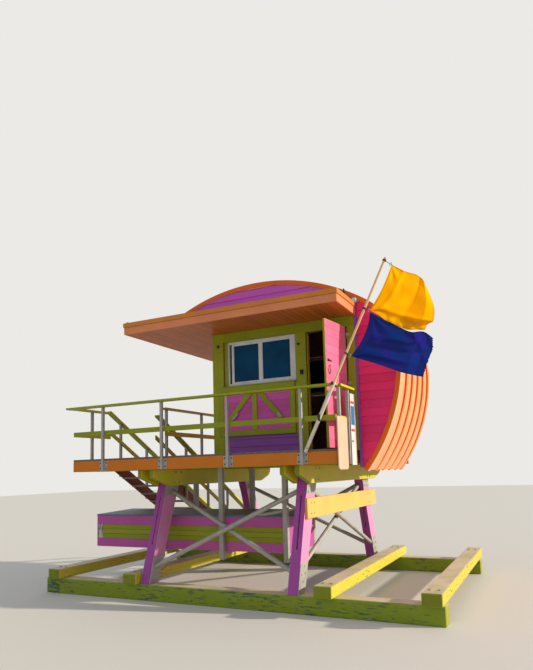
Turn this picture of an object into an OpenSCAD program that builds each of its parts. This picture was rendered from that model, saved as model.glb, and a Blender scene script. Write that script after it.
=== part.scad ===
// Timber lifeguard tower: an arched cabin on a railed deck, carried by four
// battered legs on a sled of heavy timbers. Millimetres, Z up, ground at 0.
// X runs along the front, Y from the front to the seaward side.

/* [Deck] */
// Height of the deck's walking surface above the ground
deck_z = 2600; // [2300:10:3000]
// Width of the deck along the front
deck_w = 5520; // [5450:10:5560]
// Depth of the deck from front to back
deck_d = 5100; // [5000:10:5300]
// Depth of the front walkway, up to the stair opening
walk_d = 1050; // [1045:5:1090]
// Width of the stair opening
well_w = 1450; // [1350:10:1500]
// Thickness of the deck boards
board_t = 35; // [25:1:45]
// Depth of the rim joists
rim_h = 205; // [180:5:235]
// Thickness of rim joists and joists
rim_t = 45; // [38:1:60]
// Number of joist bays from front to back
bays = 12; // [11:1:14]

/* [Sled] */
// How far the ground sills reach left of the deck
sill_left = 700; // [650:10:800]
// Length of the two ground sills
sill_l = 7740; // [7700:10:7900]
// Depth of the base, over the feet of the legs
base_d = 4800; // [4700:10:4900]
// Side of a ground sill
sill_s = 290; // [260:5:320]
// Width of a sled timber
timber_w = 300; // [260:5:320]
// Height of a sled timber
timber_h = 190; // [160:5:220]
// How far the sled timbers reach past the front sill
timber_front = 100; // [60:5:120]
// How far the sled timbers reach past the rear sill
timber_rear = 280; // [200:10:350]
// Gap between the left leg and its sled timber
left_gap = 40; // [30:5:80]
// Gap between the right leg and its sled timber
right_gap = 305; // [200:5:350]

/* [Legs] */
// Middle of the left legs, from the left end of the deck
leg_left = 1730; // [1715:5:1760]
// Length of the block at the foot of a leg
foot_block = 690; // [640:10:720]
// Length of the block at the head of a leg, below the beams
head_block = 200; // [180:5:240]
// Length of the steel plates at the foot of a leg
foot_plate = 470; // [440:5:500]
// Length of the steel plates at the head of a leg, below the beams
head_plate = 180; // [160:5:190]
// Middle of the right legs, from the right end of the deck
leg_right_in = 855; // [770:5:920]
// Width of a leg across its two planks
leg_w = 180; // [160:5:200]
// Gap between the two planks of a leg
leg_slot = 30; // [20:1:40]
// Depth of a leg at its foot
foot_d = 290; // [260:5:290]
// How far the front edge of a leg leans in from foot to beam
lean = 550; // [450:10:600]
// Extra depth of a leg where it meets the beams
flare = 130; // [80:5:160]
// Thickness of a galvanised leg plate
plate_t = 8; // [6:1:12]
// Diameter of a brace pipe
pipe_d = 85; // [76:1:88]

/* [Beams] */
// Width of one beam of a pair
beam_w = 90; // [75:1:100]
// Depth of a beam
beam_h = 310; // [280:5:330]
// Depth of the upright end of a beam, above its chamfer
beam_nose = 150; // [120:5:200]
// Length of the chamfer under the end of a beam
beam_taper = 520; // [300:10:600]
// Setback of the beam ends from the deck's edge
beam_back = 60; // [50:5:100]

/* [Stair] */
// Width of the stair over its stringers
stair_w = 1060; // [1000:5:1100]
// Number of risers from the ground to the deck
risers = 14; // [13:1:15]
// Going of each step
going = 325; // [310:5:330]
// Thickness of a tread and of the handrail boards
tread_t = 38; // [32:1:45]
// Depth of a stringer, measured upright
stringer_v = 270; // [240:5:300]
// How far the stringers rise above the line of the nosings
stringer_up = 120; // [60:5:130]
// Height of the stair handrail above the line of the nosings
stair_rail_z = 1070; // [1000:10:1100]
// Height of the stair's lower rail above the line of the nosings
stair_mid_z = 640; // [560:10:680]

/* [Rails] */
// Height of the top rail above the deck
rail_z = 1040; // [1000:5:1100]
// Height of the middle of the lower rail above the deck
mid_z = 500; // [450:5:550]
// Depth of the lower rail
mid_h = 90; // [80:5:140]
// Thickness of the rail boards
rail_t = 38; // [32:1:45]
// Width of the top rail
rail_w = 140; // [120:5:150]
// Side of a square rail post
post_s = 50; // [45:1:60]
// First post, from the left end of the deck
post_first = 777; // [740:1:800]
// Last post, from the right end of the deck
post_last_in = 588; // [560:1:620]
// Gap between the right-hand rail and the front of the cabin
side_gap = 310; // [280:10:340]

/* [Cabin] */
// Width of the cabin front, up to its right corner
cabin_w = 2910; // [2870:5:2930]
// How far the right corner stands past the end of the deck
corner_out = 50; // [50:5:60]
// Front of the cabin, from the front of the deck
cabin_y = 1070; // [1070:5:1100]
// Depth of the cabin
cabin_d = 2500; // [2400:10:2600]
// Height of the porch soffit above the deck
soffit_z = 2400; // [2390:5:2440]
// Thickness of the cabin walls
wall_t = 100; // [80:5:110]
// Thickness of the cabin floor
floor_t = 25; // [18:1:30]
// Thickness of the green trim boards
trim_t = 25; // [20:1:25]

/* [Openings] */
// Left side of the window opening, from the left side of the cabin
window_in = 220; // [210:5:240]
// Width of the post between the window and the doorway
mullion_w = 200; // [180:5:220]
// Height of the window's lower edge above the deck
window_z = 1340; // [1300:5:1400]
// Height of the window opening
window_h = 890; // [860:5:900]
// Width of the wall between the doorway and the right corner
corner_w = 140; // [130:5:150]
// Width of the doorway
door_w = 800; // [780:5:800]
// Height of the doorway above the deck
door_h = 2210; // [2100:5:2230]
// Thickness of the door leaf
leaf_t = 45; // [38:1:50]
// Gap between the door leaf and its opening
leaf_gap = 8; // [6:1:10]
// Angle at which the door stands open
door_open = 82; // [60:1:86]
// Height of the folded-down shutter
shutter_h = 960; // [900:10:1000]

/* [Roof] */
// Radius of the roof arch, outside
arch_r = 3895; // [3880:5:3920]
// How far the curved side reaches past the right end of the deck
side_out = 815.3; // [800:0.1:830]
// Height of the top of the arch above the deck
arch_top = 3285; // [3270:5:3300]
// Slope of the roof where the shoulder begins, in degrees
shoulder_a = 33.7; // [32:0.1:35]
// Radius of the shoulder between roof and side, outside
shoulder_r = 1245; // [1230:5:1260]
// How far the lower edge of the curved side stands past the end of the deck
skirt_out = 185.6; // [170:0.1:200]
// How far the curved side hangs below the deck
side_drop = 350; // [320:5:380]
// Thickness of the curved shell
shell_t = 90; // [70:5:100]
// Number of raised ribs on the shell
ribs = 6; // [4:1:8]
// Width of a rib
rib_w = 120; // [90:5:150]
// Height of a rib above the shell
rib_t = 35; // [25:1:45]
// Width of the trim board along the front of the arch
arch_trim = 85; // [75:1:100]
// Thickness of the flat porch roof
canopy_t = 220; // [180:5:240]
// How far the porch roof reaches past the left side of the cabin
canopy_out = 1430; // [1380:5:1480]
// How far the porch roof reaches past the right corner of the cabin
canopy_lap = 30; // [20:1:40]
// Front edge of the porch roof, from the front of the deck
canopy_y = 50; // [0:5:100]

/* [Locker] */
// Left end of the storage locker, from the left end of the deck
locker_x = -200; // [-260:10:-100]
// Right end of the locker, from the middle of the right legs
locker_in = 415; // [400:5:430]
// Height of the locker
locker_h = 660; // [600:10:700]
// Depth of the locker's top below the deck
locker_drop = 1130; // [1100:10:1200]
// Thickness of the locker's walls
locker_t = 30; // [20:1:40]
// Height of the board along the locker's lower edge
band_low = 170; // [150:5:190]
// Height of the board along the locker's upper edge
band_top = 175; // [150:5:190]
// How far the locker's lid falls from its rear edge to its front
lid_fall = 40; // [20:5:60]
// Side of a locker hanger tube
hanger_s = 90; // [80:1:100]

/* [Flag and signs] */
// Diameter of the flagpole
pole_d = 38; // [32:1:45]
// Diameter of the tube that holds the flagpole
tube_d = 60; // [52:1:66]
// Length of the flagpole
pole_l = 3330; // [3300:10:3400]
// Lean of the flagpole from upright, in degrees
pole_lean = 27.8; // [26:0.1:29]
// Foot of the flagpole, from the right end of the deck
pole_in_x = 520; // [500:1:530]
// Thickness of the flags
flag_t = 24; // [16:1:30]
// Top of the board between the right legs, below the deck
sign_drop = 800; // [780:10:840]
// Height of the board between the right legs
sign_h = 340; // [300:5:360]
// Thickness of the board between the right legs
sign_t = 50; // [40:1:60]
// Thickness of the panels on the right rail
panel_t = 18; // [12:1:20]
// Width of the plain panel
panel_w = 470; // [440:5:500]
// How far the plain panel reaches past the front of the deck
panel_out = 110; // [90:5:120]
// Height of the plain panel
panel_h = 840; // [800:5:880]
// Width of the notice board
notice_w = 250; // [230:5:280]
// Gap between the plain panel and the notice board
notice_gap = 210; // [190:5:230]
// Height of the notice board
notice_h = 1200; // [1100:10:1250]

/* [Hidden] */
$fn = 48;
// Clearance between pieces that meet
seat = 0.3;
// Running clearance of a hinge pin in its knuckle
pin_gap = 0.05;

lime = "olive";
orange = "darkorange";
pink = "mediumvioletred";
steel = "lightsteelblue";

// Levels above the ground
board_z = deck_z - board_t;
beam_top = board_z - rim_h;
beam_low = beam_top - beam_h;
soffit = deck_z + soffit_z;
roof_z = soffit + canopy_t;
side_low = deck_z - side_drop;

// Legs: the profile of a front leg in Y and Z, mirrored for the rear ones; its foot
// starts at foot_y
leg_right = deck_w - leg_right_in;
leg_mid_y = base_d / 2;
foot_y = 30;
leg_rise = beam_low - sill_s;
leg_top = beam_top;
slot_low = sill_s + foot_block;
slot_high = beam_low - head_block;
plate_high = beam_low - head_plate;
plate_low = sill_s + foot_plate;
// Ends of the braces, above the sills and below the beams
brace_foot = 270;
brace_head = 90;

// Sled
sill_x = -sill_left;
sill_front = foot_y + foot_d / 2 - sill_s / 2;
sill_rear = base_d - sill_front - sill_s;
timber_y = sill_front - timber_front;
timber_end = sill_rear + sill_s + timber_rear;
// Outer sled timbers, from the left and the right ends of the sills
outer_left = 140;
outer_right = 20;

// Stair
rise = deck_z / risers;
slope = rise / going;
stair_x = 0;
stair_right = stair_x + stair_w;
// Gap behind each tread, and the stringers' reach past the last one
tread_gap = 40;
stringer_past = 40;
stair_end = walk_d + (risers - 1) * going + stringer_past;

// Rails: how far a top rail reaches inside and outside the rim's face
rail_in = (rail_w - post_s) / 2;
rail_out = (rail_w + post_s) / 2;
// Plates that fix the posts to the rim, and their setback from its lower and upper edges
post_plate = 8;
plate_half = 1.9 * post_s;
plate_in = [12, 8];
// How far the front top rail passes the left end of the deck
over = 127;
post_pitch = (deck_w - post_first - post_last_in) / 3;

// Cabin: the side arc is placed from the deck, then the shoulder and the roof arch
corner_x = deck_w + corner_out;
cabin_x = corner_x - cabin_w;
cabin_back = cabin_y + cabin_d;
window_x = cabin_x + window_in;
door_x = corner_x - corner_w - door_w;
window_w = door_x - mullion_w - window_x;
canopy_x = cabin_x - canopy_out;
canopy_end = corner_x + canopy_lap;
shoulder_x = deck_w + side_out - shoulder_r;
arch_x = shoulder_x - (arch_r - shoulder_r) * sin(shoulder_a);
arch_z = deck_z + arch_top - arch_r;
shoulder_z = arch_z + (arch_r - shoulder_r) * cos(shoulder_a);
side_in = side_out - skirt_out;
side_h = shoulder_z - side_low;
side_r = (side_h * side_h + side_in * side_in) / (2 * side_in);
side_x = deck_w + side_out - side_r;
eave_a = acos((roof_z - arch_z) / arch_r);
skirt_a = asin(side_h / side_r);
gable_low = deck_z - 300;

// Windows: a frame's bars and depth, its setback from the wall's face, and the panes
frame_w = 55;
frame_d = 60;
frame_in = 15;
glass_t = 6;
frame_y = [cabin_y + frame_in, cabin_back - frame_in - frame_d];

// Flagpole and flags: points in the pole's own frame, across it and along it
pole_x = deck_w - pole_in_x;
pole_y = -post_plate - tube_d / 2 - 2 * seat;
pole_top_y = -rail_out - tube_d / 2 - 2 * seat;
pole_rise = rail_z - rail_t + board_t;
pole_out = atan((pole_y - pole_top_y) / pole_rise * cos(pole_lean));
// How far the tube stands above the top rail, and the pole's foot above the tube's
tube_over = 30;
tube_l = (pole_rise + rail_t + tube_over) / cos(pole_lean);
pole_in = 150;
// Clearance round the pole in its tube
pole_gap = 0.5;
flag_in = pole_d / 2 + seat;
yellow_tip = [1020, 2680];
yellow_points = [[flag_in, 2470], [flag_in, 3200], [700, 3190], yellow_tip, [960, 2480]];
navy_points = [[flag_in, 1710], [flag_in, 2440], [1110, 2400], [1180, 1850]];

// Whole-object frame: the origin is under the middle of the bounding box
x_high = max(sill_x + sill_l,
    pole_x + yellow_tip[0] * cos(pole_lean)
        + (yellow_tip[1] * cos(pole_out) + flag_t / 2 * sin(pole_out)) * sin(pole_lean));
x_mid = (sill_x + x_high) / 2;
y_low = pole_y - pole_l * sin(pole_out) - pole_d / 2 * cos(pole_out);
y_mid = (y_low + stair_end) / 2;

// Joist lines
joist_pitch = (deck_d - rim_t) / bays;
function joist_y(i) = rim_t / 2 + i * joist_pitch;
locker_y = joist_y(2) + hanger_s / 2;
locker_d = joist_y(5) - joist_y(2) - hanger_s;
locker_z = deck_z - locker_drop - locker_h;
locker_l = leg_right - locker_in - locker_x;
// Width of the board at each end of the locker's front, the lid's overhang at its ends,
// and how far the hangers reach below the locker
locker_post = 65;
lid_over = 10;
hanger_low = 150;
// Hangers: the left one beside the beam, the right one just past the locker's end, the
// middle one by its share of the way between them
hanger_gap = 5;
hanger_past = 5;
hanger_share = 0.512;
hanger_x0 = leg_left - leg_w / 2 - beam_w - hanger_gap - hanger_s / 2;
hanger_x1 = locker_x + locker_l - hanger_s / 2 + hanger_past;
hanger_x = [hanger_x0, hanger_x0 + hanger_share * (hanger_x1 - hanger_x0), hanger_x1];

// Extrudes a shape drawn in Y and Z along X
module along_x(x0, t) {
    translate([x0, 0, 0]) rotate([90, 0, 90]) linear_extrude(t) children();
}

// Extrudes a shape drawn in X and Z along Y
module along_y(y0, t) {
    translate([0, y0 + t, 0]) rotate([90, 0, 0]) linear_extrude(t) children();
}

// A box between two corners
module block(a, b) {
    translate(a) cube(b - a);
}

// A round bar between two points
module bar(a, b, d) {
    v = b - a;
    translate(a)
        rotate([0, acos(v[2] / norm(v)), atan2(v[1], v[0])])
            cylinder(d = d, h = norm(v));
}

// A pie slice in X and Z, from angle a0 to a1, measured clockwise from upright
module slice(cx, cz, r, a0, a1) {
    polygon(concat([[cx, cz]], [for (k = [0:4])
        let (a = a0 + (a1 - a0) * k / 4) [cx + r * sin(a), cz + r * cos(a)]]));
}

// A curved band of the shell about one of its arcs
module band(cx, cz, r_out, r_in, a0, a1, y0, t) {
    intersection() {
        translate([cx, y0 + t, cz]) rotate([90, 0, 0]) difference() {
            cylinder(r = r_out, h = t, $fn = 360);
            translate([0, 0, -1]) cylinder(r = r_in, h = t + 2, $fn = 360);
        }
        along_y(y0, t) slice(cx, cz, r_out * 1.4, a0, a1);
    }
}

// The three arcs of the shell in turn, from g0 to g1 outside it; the first stands on
// the porch roof
module roof_band(g0, g1, y0, t) {
    intersection() {
        band(arch_x, arch_z, arch_r + g1, arch_r + g0, -eave_a - 5, shoulder_a, y0, t);
        block([0, y0, roof_z + seat], [side_x + side_r, y0 + t, arch_z + 2 * arch_r]);
    }
}
module shoulder_band(g0, g1, y0, t) {
    band(shoulder_x, shoulder_z, shoulder_r + g1, shoulder_r + g0, shoulder_a, 90, y0, t);
}
module side_band(g0, g1, y0, t) {
    band(side_x, shoulder_z, side_r + g1, side_r + g0, 90, 90 + skirt_a, y0, t);
}

// The area under the shell, moved inwards by g, above the level z0
module under_shell(g, y0, t, z0) {
    intersection() {
        block([0, y0, z0], [side_x + side_r, y0 + t, arch_z + arch_r]);
        union() {
            intersection() {
                translate([arch_x, y0 + t, arch_z]) rotate([90, 0, 0])
                    cylinder(r = arch_r - g, h = t, $fn = 360);
                block([0, y0, roof_z], [shoulder_x, y0 + t, arch_z + arch_r]);
            }
            intersection() {
                translate([arch_x, y0 + t, arch_z]) rotate([90, 0, 0])
                    cylinder(r = arch_r - g, h = t, $fn = 360);
                along_y(y0, t) slice(arch_x, arch_z, arch_r * 1.4, 0, shoulder_a);
            }
            intersection() {
                translate([shoulder_x, y0 + t, shoulder_z]) rotate([90, 0, 0])
                    cylinder(r = shoulder_r - g, h = t, $fn = 360);
                along_y(y0, t)
                    slice(shoulder_x, shoulder_z, shoulder_r * 1.4, shoulder_a - 5, 95);
            }
            intersection() {
                translate([side_x, y0 + t, shoulder_z]) rotate([90, 0, 0])
                    cylinder(r = side_r - g, h = t, $fn = 360);
                block([cabin_x, y0, side_low], [side_x + side_r, y0 + t, shoulder_z]);
            }
            block([cabin_x, y0, side_low], [shoulder_x, y0 + t, roof_z]);
        }
    }
}

// Two heavy sills that lie on the sand
module ground_sills() {
    color(lime) for (y = [sill_front, sill_rear])
        block([sill_x, y, 0], [sill_x + sill_l, y + sill_s, sill_s]);
}

// Four timbers laid across the sills
module sled_timbers() {
    xs = [sill_x + outer_left, leg_left - leg_w / 2 - left_gap - timber_w,
        leg_right + leg_w / 2 + right_gap, sill_x + sill_l - outer_right - timber_w];
    color(lime) for (x = xs)
        block([x, timber_y, sill_s], [x + timber_w, timber_end, sill_s + timber_h]);
}

// Side view of a front leg
module leg_outline(z0, z1) {
    function front(z) = foot_y + lean * (z - sill_s) / leg_rise;
    function back(z) = foot_y + foot_d + (lean + flare) * (z - sill_s) / leg_rise;
    polygon([[front(z0), z0], [back(z0), z0], [back(z1), z1], [front(z1), z1]]);
}

// Turns a front leg's shape into a rear one
module front_or_rear(rear) {
    if (rear) translate([0, 2 * leg_mid_y, 0]) mirror([0, 1, 0]) children();
    else children();
}

// A leg: two planks with a block between them at each end
module leg(x, rear) {
    plank = (leg_w - leg_slot) / 2;
    color(pink) front_or_rear(rear) {
        along_x(x - leg_w / 2, plank) leg_outline(sill_s, leg_top);
        along_x(x + leg_slot / 2, plank) leg_outline(sill_s, leg_top);
        along_x(x - leg_slot / 2 - 1, leg_slot + 2) leg_outline(sill_s, slot_low);
        along_x(x - leg_slot / 2 - 1, leg_slot + 2) leg_outline(slot_high, leg_top);
    }
}
module front_left_leg() { leg(leg_left, false); }
module front_right_leg() { leg(leg_right, false); }
module rear_left_leg() { leg(leg_left, true); }
module rear_right_leg() { leg(leg_right, true); }

// Galvanised plates on both sides of each leg, at its foot and under the beams
module leg_plates() {
    color(steel) for (rear = [false, true], x = [leg_left, leg_right], s = [-1, 1])
        front_or_rear(rear) {
            x0 = s > 0 ? x + leg_w / 2 : x - leg_w / 2 - plate_t;
            along_x(x0, plate_t) leg_outline(sill_s, plate_low);
            along_x(x0, plate_t) leg_outline(plate_high, beam_low);
        }
}

// Crossed pipes between neighbouring legs
module leg_braces() {
    z0 = sill_s + brace_foot;
    z1 = beam_low - brace_head;
    tilt = (lean + flare / 2) / leg_rise;
    function mid_y(z) = foot_y + foot_d / 2 + tilt * (z - sill_s);
    off = pipe_d / 2 + seat / 2;
    off_y = off * sqrt(1 + tilt * tilt);
    x0 = leg_left + leg_w / 2 + plate_t;
    x1 = leg_right - leg_w / 2 - plate_t;
    color(steel) {
        for (rear = [false, true]) front_or_rear(rear) intersection() {
            union() {
                bar([x0 - 60, mid_y(z0) - off_y, z0], [x1 + 60, mid_y(z1) - off_y, z1], pipe_d);
                bar([x0 - 60, mid_y(z1) + off_y, z1], [x1 + 60, mid_y(z0) + off_y, z0], pipe_d);
            }
            block([x0, 0, 0], [x1, base_d, deck_z]);
        }
        x = leg_right;
        difference() {
            union() {
                bar([x - off, mid_y(z0), z0], [x - off, base_d - mid_y(z1), z1], pipe_d);
                bar([x + off, mid_y(z1), z1], [x + off, base_d - mid_y(z0), z0], pipe_d);
            }
            for (rear = [false, true]) front_or_rear(rear)
                along_x(x - leg_w, 2 * leg_w) leg_outline(sill_s, leg_top);
        }
    }
}

// Two pairs of deep timbers, one each side of the legs, with chamfered ends
module deck_beams() {
    y0 = beam_back;
    y1 = deck_d - beam_back;
    color(lime) for (x = [leg_left, leg_right], s = [-1, 1])
        along_x(s > 0 ? x + leg_w / 2 : x - leg_w / 2 - beam_w, beam_w)
            polygon([[y0, beam_top], [y0, beam_top - beam_nose], [y0 + beam_taper, beam_low],
                [y1 - beam_taper, beam_low], [y1, beam_top - beam_nose], [y1, beam_top]]);
}

// Joists that lie across the beams between the rims
module deck_joists() {
    color("peru") for (i = [1:bays - 1]) {
        y = joist_y(i) - rim_t / 2;
        x0 = joist_y(i) < walk_d - rim_t ? rim_t : well_w + rim_t;
        block([x0, y, beam_top], [deck_w - rim_t, y + rim_t, board_z]);
    }
}

// Rim joists round the deck and the stair opening
module deck_rims() {
    z = [beam_top, board_z];
    inner = well_w + rim_t;
    color(orange) {
        block([0, 0, z[0]], [deck_w, rim_t, z[1]]);
        block([0, rim_t + seat, z[0]], [rim_t, walk_d, z[1]]);
        block([rim_t + seat, walk_d - rim_t, z[0]], [inner, walk_d, z[1]]);
        block([well_w, walk_d + seat, z[0]], [inner, deck_d, z[1]]);
        block([inner + seat, deck_d - rim_t, z[0]], [deck_w - rim_t - seat, deck_d, z[1]]);
        block([deck_w - rim_t, rim_t + seat, z[0]], [deck_w, deck_d, z[1]]);
    }
}

// The boarded floor: the front walkway and, beside the stair opening, the rest
module deck_floor() {
    color("tan") {
        block([0, 0, board_z], [deck_w, walk_d, deck_z]);
        block([well_w, walk_d + seat, board_z], [deck_w, deck_d, deck_z]);
    }
}

// Height of the line through the nosings
function nosing(y) = deck_z - slope * (y - walk_d);

// A sloping board beside the stair, from z above the nosings down by h
module sloped(y0, y1, z, h) {
    polygon([[y0, nosing(y0) + z], [y1, nosing(y1) + z], [y1, nosing(y1) + z - h],
        [y0, nosing(y0) + z - h]]);
}

// Two stringers, cut off level with the deck boards' underside and with the ground
module stair_stringers() {
    color("saddlebrown") for (x = [stair_x, stair_right - rim_t]) intersection() {
        along_x(x, rim_t) sloped(walk_d, stair_end, stringer_up, stringer_v);
        block([x, walk_d, 0], [x + rim_t, stair_end, board_z]);
    }
}

// Treads between the stringers
module stair_treads() {
    depth = going - tread_gap;
    color("rosybrown") for (i = [1:risers - 1]) {
        y = walk_d + i * going;
        block([stair_x + rim_t, y - depth, deck_z - i * rise - tread_t],
            [stair_right - rim_t, y, deck_z - i * rise]);
    }
}

// Sloping handrails on posts beside the stair
module stair_rails() {
    posts = 5;
    // first post from the walkway, last post from the stringers' foot
    first = 370;
    foot = 215;
    // where the left and the right rails start, and how far they pass the last post
    start = [10, 250];
    past = 120;
    last = stair_end - foot;
    ys = [for (k = [0:posts - 1]) walk_d + first + k * (last - walk_d - first) / (posts - 1)];
    y1 = last + past;
    for (right = [false, true]) {
        xp = right ? stair_right : stair_x - post_s;
        xr = right ? stair_right - rail_t - seat : stair_x + seat;
        y0 = walk_d + start[right ? 1 : 0];
        color(lime) along_x(xp + (post_s - rail_w) / 2, rail_w)
            sloped(y0, y1, stair_rail_z, rail_t);
        color(lime) along_x(xr, rail_t) sloped(y0, y1, stair_mid_z, mid_h);
        color(steel) for (y = ys) {
            low = max(0, nosing(y) + stringer_up - stringer_v);
            top = stair_rail_z - rail_t - seat;
            along_x(xp, post_s) polygon([[y, low], [y + post_s, low],
                [y + post_s, nosing(y + post_s) + top], [y, nosing(y) + top]]);
        }
    }
}

// A straight run of railing along X, standing outside a rim whose face is at Y = 0.
// The lower rail stops short of the run's ends by the two lengths in cut.
module rail_run(x0, x1, posts, cut) {
    z = deck_z + rail_z;
    mid = deck_z + mid_z;
    color(lime) block([x0, -rail_out, z - rail_t], [x1, rail_in, z]);
    color(lime) block([x0 + cut[0], seat, mid - mid_h / 2],
        [x1 - cut[1], seat + rail_t, mid + mid_h / 2]);
    color(steel) for (x = posts) {
        block([x - post_s / 2, -post_s, beam_top], [x + post_s / 2, 0, z - rail_t - seat]);
        block([x - plate_half, -post_plate, beam_top + plate_in[0]],
            [x + plate_half, 0, board_z - plate_in[1]]);
    }
}

// The railing along the front
module front_rail() {
    rail_run(-over, deck_w + post_s, [for (k = [0:3]) post_first + k * post_pitch],
        [over, post_s]);
}

// The railings at the left end, beside the stair opening and at the right end
module side_rails() {
    y0 = rail_in + seat;
    y1 = cabin_y - side_gap;
    // gap in front of the first post's plate beside the stair opening
    first = 5;
    // posts at the right end, from the front and the rear of the run
    ends = [60, 205];
    // left end of the walkway
    mirror([1, 0, 0]) rotate([0, 0, 90]) rail_run(y0, walk_d, [(y0 + walk_d) / 2], [0, 0]);
    // beside the stair opening
    translate([well_w, 0, 0]) mirror([1, 0, 0]) rotate([0, 0, 90])
        rail_run(walk_d, deck_d - rail_in - seat,
            [for (k = [0:2]) walk_d + plate_half + first + k * (deck_d - walk_d) / 3], [0, 0]);
    // right end of the walkway
    translate([deck_w, 0, 0]) rotate([0, 0, 90])
        rail_run(y0, y1, [y0 + ends[0], y1 - ends[1]], [0, 0]);
}

// The railings round the rear of the deck
module rear_rails() {
    // gap behind the cabin, and the posts there, from the front and the rear of the run
    gap = 60;
    ends = [80, 220];
    y0 = cabin_back + gap;
    y1 = deck_d - rail_in - seat;
    // first and last post of the long run, from its ends
    end = 310;
    pitch = (deck_w - well_w - 2 * end) / 3;
    translate([0, deck_d, 0]) mirror([0, 1, 0])
        rail_run(well_w - rail_out, deck_w + rail_out,
            [for (k = [0:3]) well_w + end + k * pitch], [rail_out, rail_out]);
    translate([deck_w, 0, 0]) rotate([0, 0, 90])
        rail_run(y0, y1, [y0 + ends[0], y1 - ends[1]], [0, 0]);
}

// Storage locker under the deck: a box that is open at the top, with a framed front
module locker_box() {
    a = [locker_x, locker_y, locker_z];
    b = a + [locker_l, locker_d, locker_h - locker_t];
    color(pink) difference() {
        block(a, b);
        block(a + [locker_t, locker_t, locker_t], b + [-locker_t, -locker_t, 10]);
        block([a[0] + locker_post, a[1] - 5, a[2] + band_low],
            [b[0] - locker_post, a[1] + locker_t / 2, b[2] - band_top]);
    }
}
module locker_lid() {
    z = locker_z + locker_h - locker_t;
    color("slategray") along_x(locker_x - lid_over, locker_l + 2 * lid_over)
        polygon([[locker_y, z], [locker_y + locker_d, z],
            [locker_y + locker_d, z + locker_t + lid_fall], [locker_y, z + locker_t]]);
}

// Tubes that hang the locker from the joists, with a cross tube under it
module locker_hangers() {
    low = locker_z - hanger_low;
    color(steel) for (x = hanger_x) {
        for (i = [2, 5]) block([x - hanger_s / 2, joist_y(i) - hanger_s / 2, low],
            [x + hanger_s / 2, joist_y(i) + hanger_s / 2, beam_top]);
        block([x - hanger_s / 3, locker_y + seat, locker_z - hanger_s * 2 / 3],
            [x + hanger_s / 3, locker_y + locker_d - seat, locker_z]);
    }
}

// Long board bolted to the outside of the right legs
module sign_board() {
    // its ends, from the front and the rear of the base
    front = 450;
    rear = 200;
    x = leg_right + leg_w / 2;
    z = deck_z - sign_drop;
    color("sandybrown") block([x, front, z - sign_h], [x + sign_t, base_d - rear, z]);
}

// Plywood floor inside the cabin, reaching out into the curved side
module cabin_floor() {
    reach = 270;
    color("burlywood") block([cabin_x + wall_t, cabin_y + wall_t, deck_z],
        [deck_w + reach, cabin_back - wall_t, deck_z + floor_t]);
}

// Front wall from the left corner to the doorway, with the window opening
module window_wall() {
    color(pink) difference() {
        block([cabin_x, cabin_y, deck_z], [door_x, cabin_y + wall_t, soffit]);
        block([window_x, cabin_y - 1, deck_z + window_z],
            [window_x + window_w, cabin_y + wall_t + 1, deck_z + window_z + window_h]);
    }
}

// Front wall to the right of the doorway, out to the curved shell
module corner_wall() {
    color("crimson") {
        block([door_x + door_w, cabin_y, deck_z], [corner_x, cabin_y + wall_t, soffit]);
        intersection() {
            under_shell(shell_t + seat, cabin_y, wall_t, gable_low);
            block([corner_x - 1, cabin_y, deck_z], [side_x + side_r, cabin_back, soffit]);
        }
        intersection() {
            under_shell(shell_t + seat, cabin_y, wall_t, gable_low);
            block([corner_x, cabin_y, gable_low], [side_x + side_r, cabin_back, deck_z + 1]);
        }
    }
}

// Boards planted on the front wall, round the window and the doorway
module front_trim() {
    y0 = cabin_y - trim_t;
    color(lime) difference() {
        block([cabin_x, y0, deck_z], [corner_x, cabin_y, soffit]);
        // window
        block([window_x, y0 - 1, deck_z + window_z],
            [window_x + window_w, cabin_y + 1, deck_z + window_z + window_h]);
        // doorway, down to the deck
        block([door_x, y0 - 1, deck_z - 1], [door_x + door_w, cabin_y + 1, deck_z + door_h]);
        // bare wall under the window
        block([shutter_x - seat, y0 - 1, deck_z - 1],
            [window_x + window_w - 10, cabin_y + 1, deck_z + window_z - 10]);
    }
}

// The shutter that hangs folded down under the window: a boarded panel with a frame,
// an upright and two braces that fan out from the upright's top
shutter_left = 110;
shutter_right = 40;
shutter_x = window_x - shutter_left;
module window_shutter() {
    x = [shutter_x, window_x + window_w - shutter_right];
    // thickness of the panel behind the frame, and its drop below the window
    back = 20;
    drop = 20;
    z = [deck_z + window_z - drop - shutter_h, deck_z + window_z - drop];
    // width of the frame's boards, and how far the upright stands left of the middle
    b = 100;
    off = 30;
    y0 = cabin_y - trim_t - back;
    mid = (x[0] + x[1]) / 2 - off;
    color(pink) block([x[0], cabin_y - back, z[0]], [x[1], cabin_y - seat, z[1]]);
    color(lime) along_y(y0, trim_t) {
        difference() {
            translate([x[0], z[0]]) square([x[1] - x[0], z[1] - z[0]]);
            translate([x[0] + b, z[0] + b]) square([x[1] - x[0] - 2 * b, z[1] - z[0] - 2 * b]);
        }
        translate([mid - b / 2, z[0] + 1]) square([b, z[1] - z[0] - 2]);
        for (s = [-1, 1]) polygon([[mid + s * b / 3, z[1] - 1.4 * b], [mid + s * b / 3, z[1] - b / 2],
            [mid + s * b * 1.3, z[1] - b / 2], [mid + s * 6.1 * b, z[0] + 3.1 * b],
            [mid + s * 5.3 * b, z[0] + 2.6 * b]]);
    }
}

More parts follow.
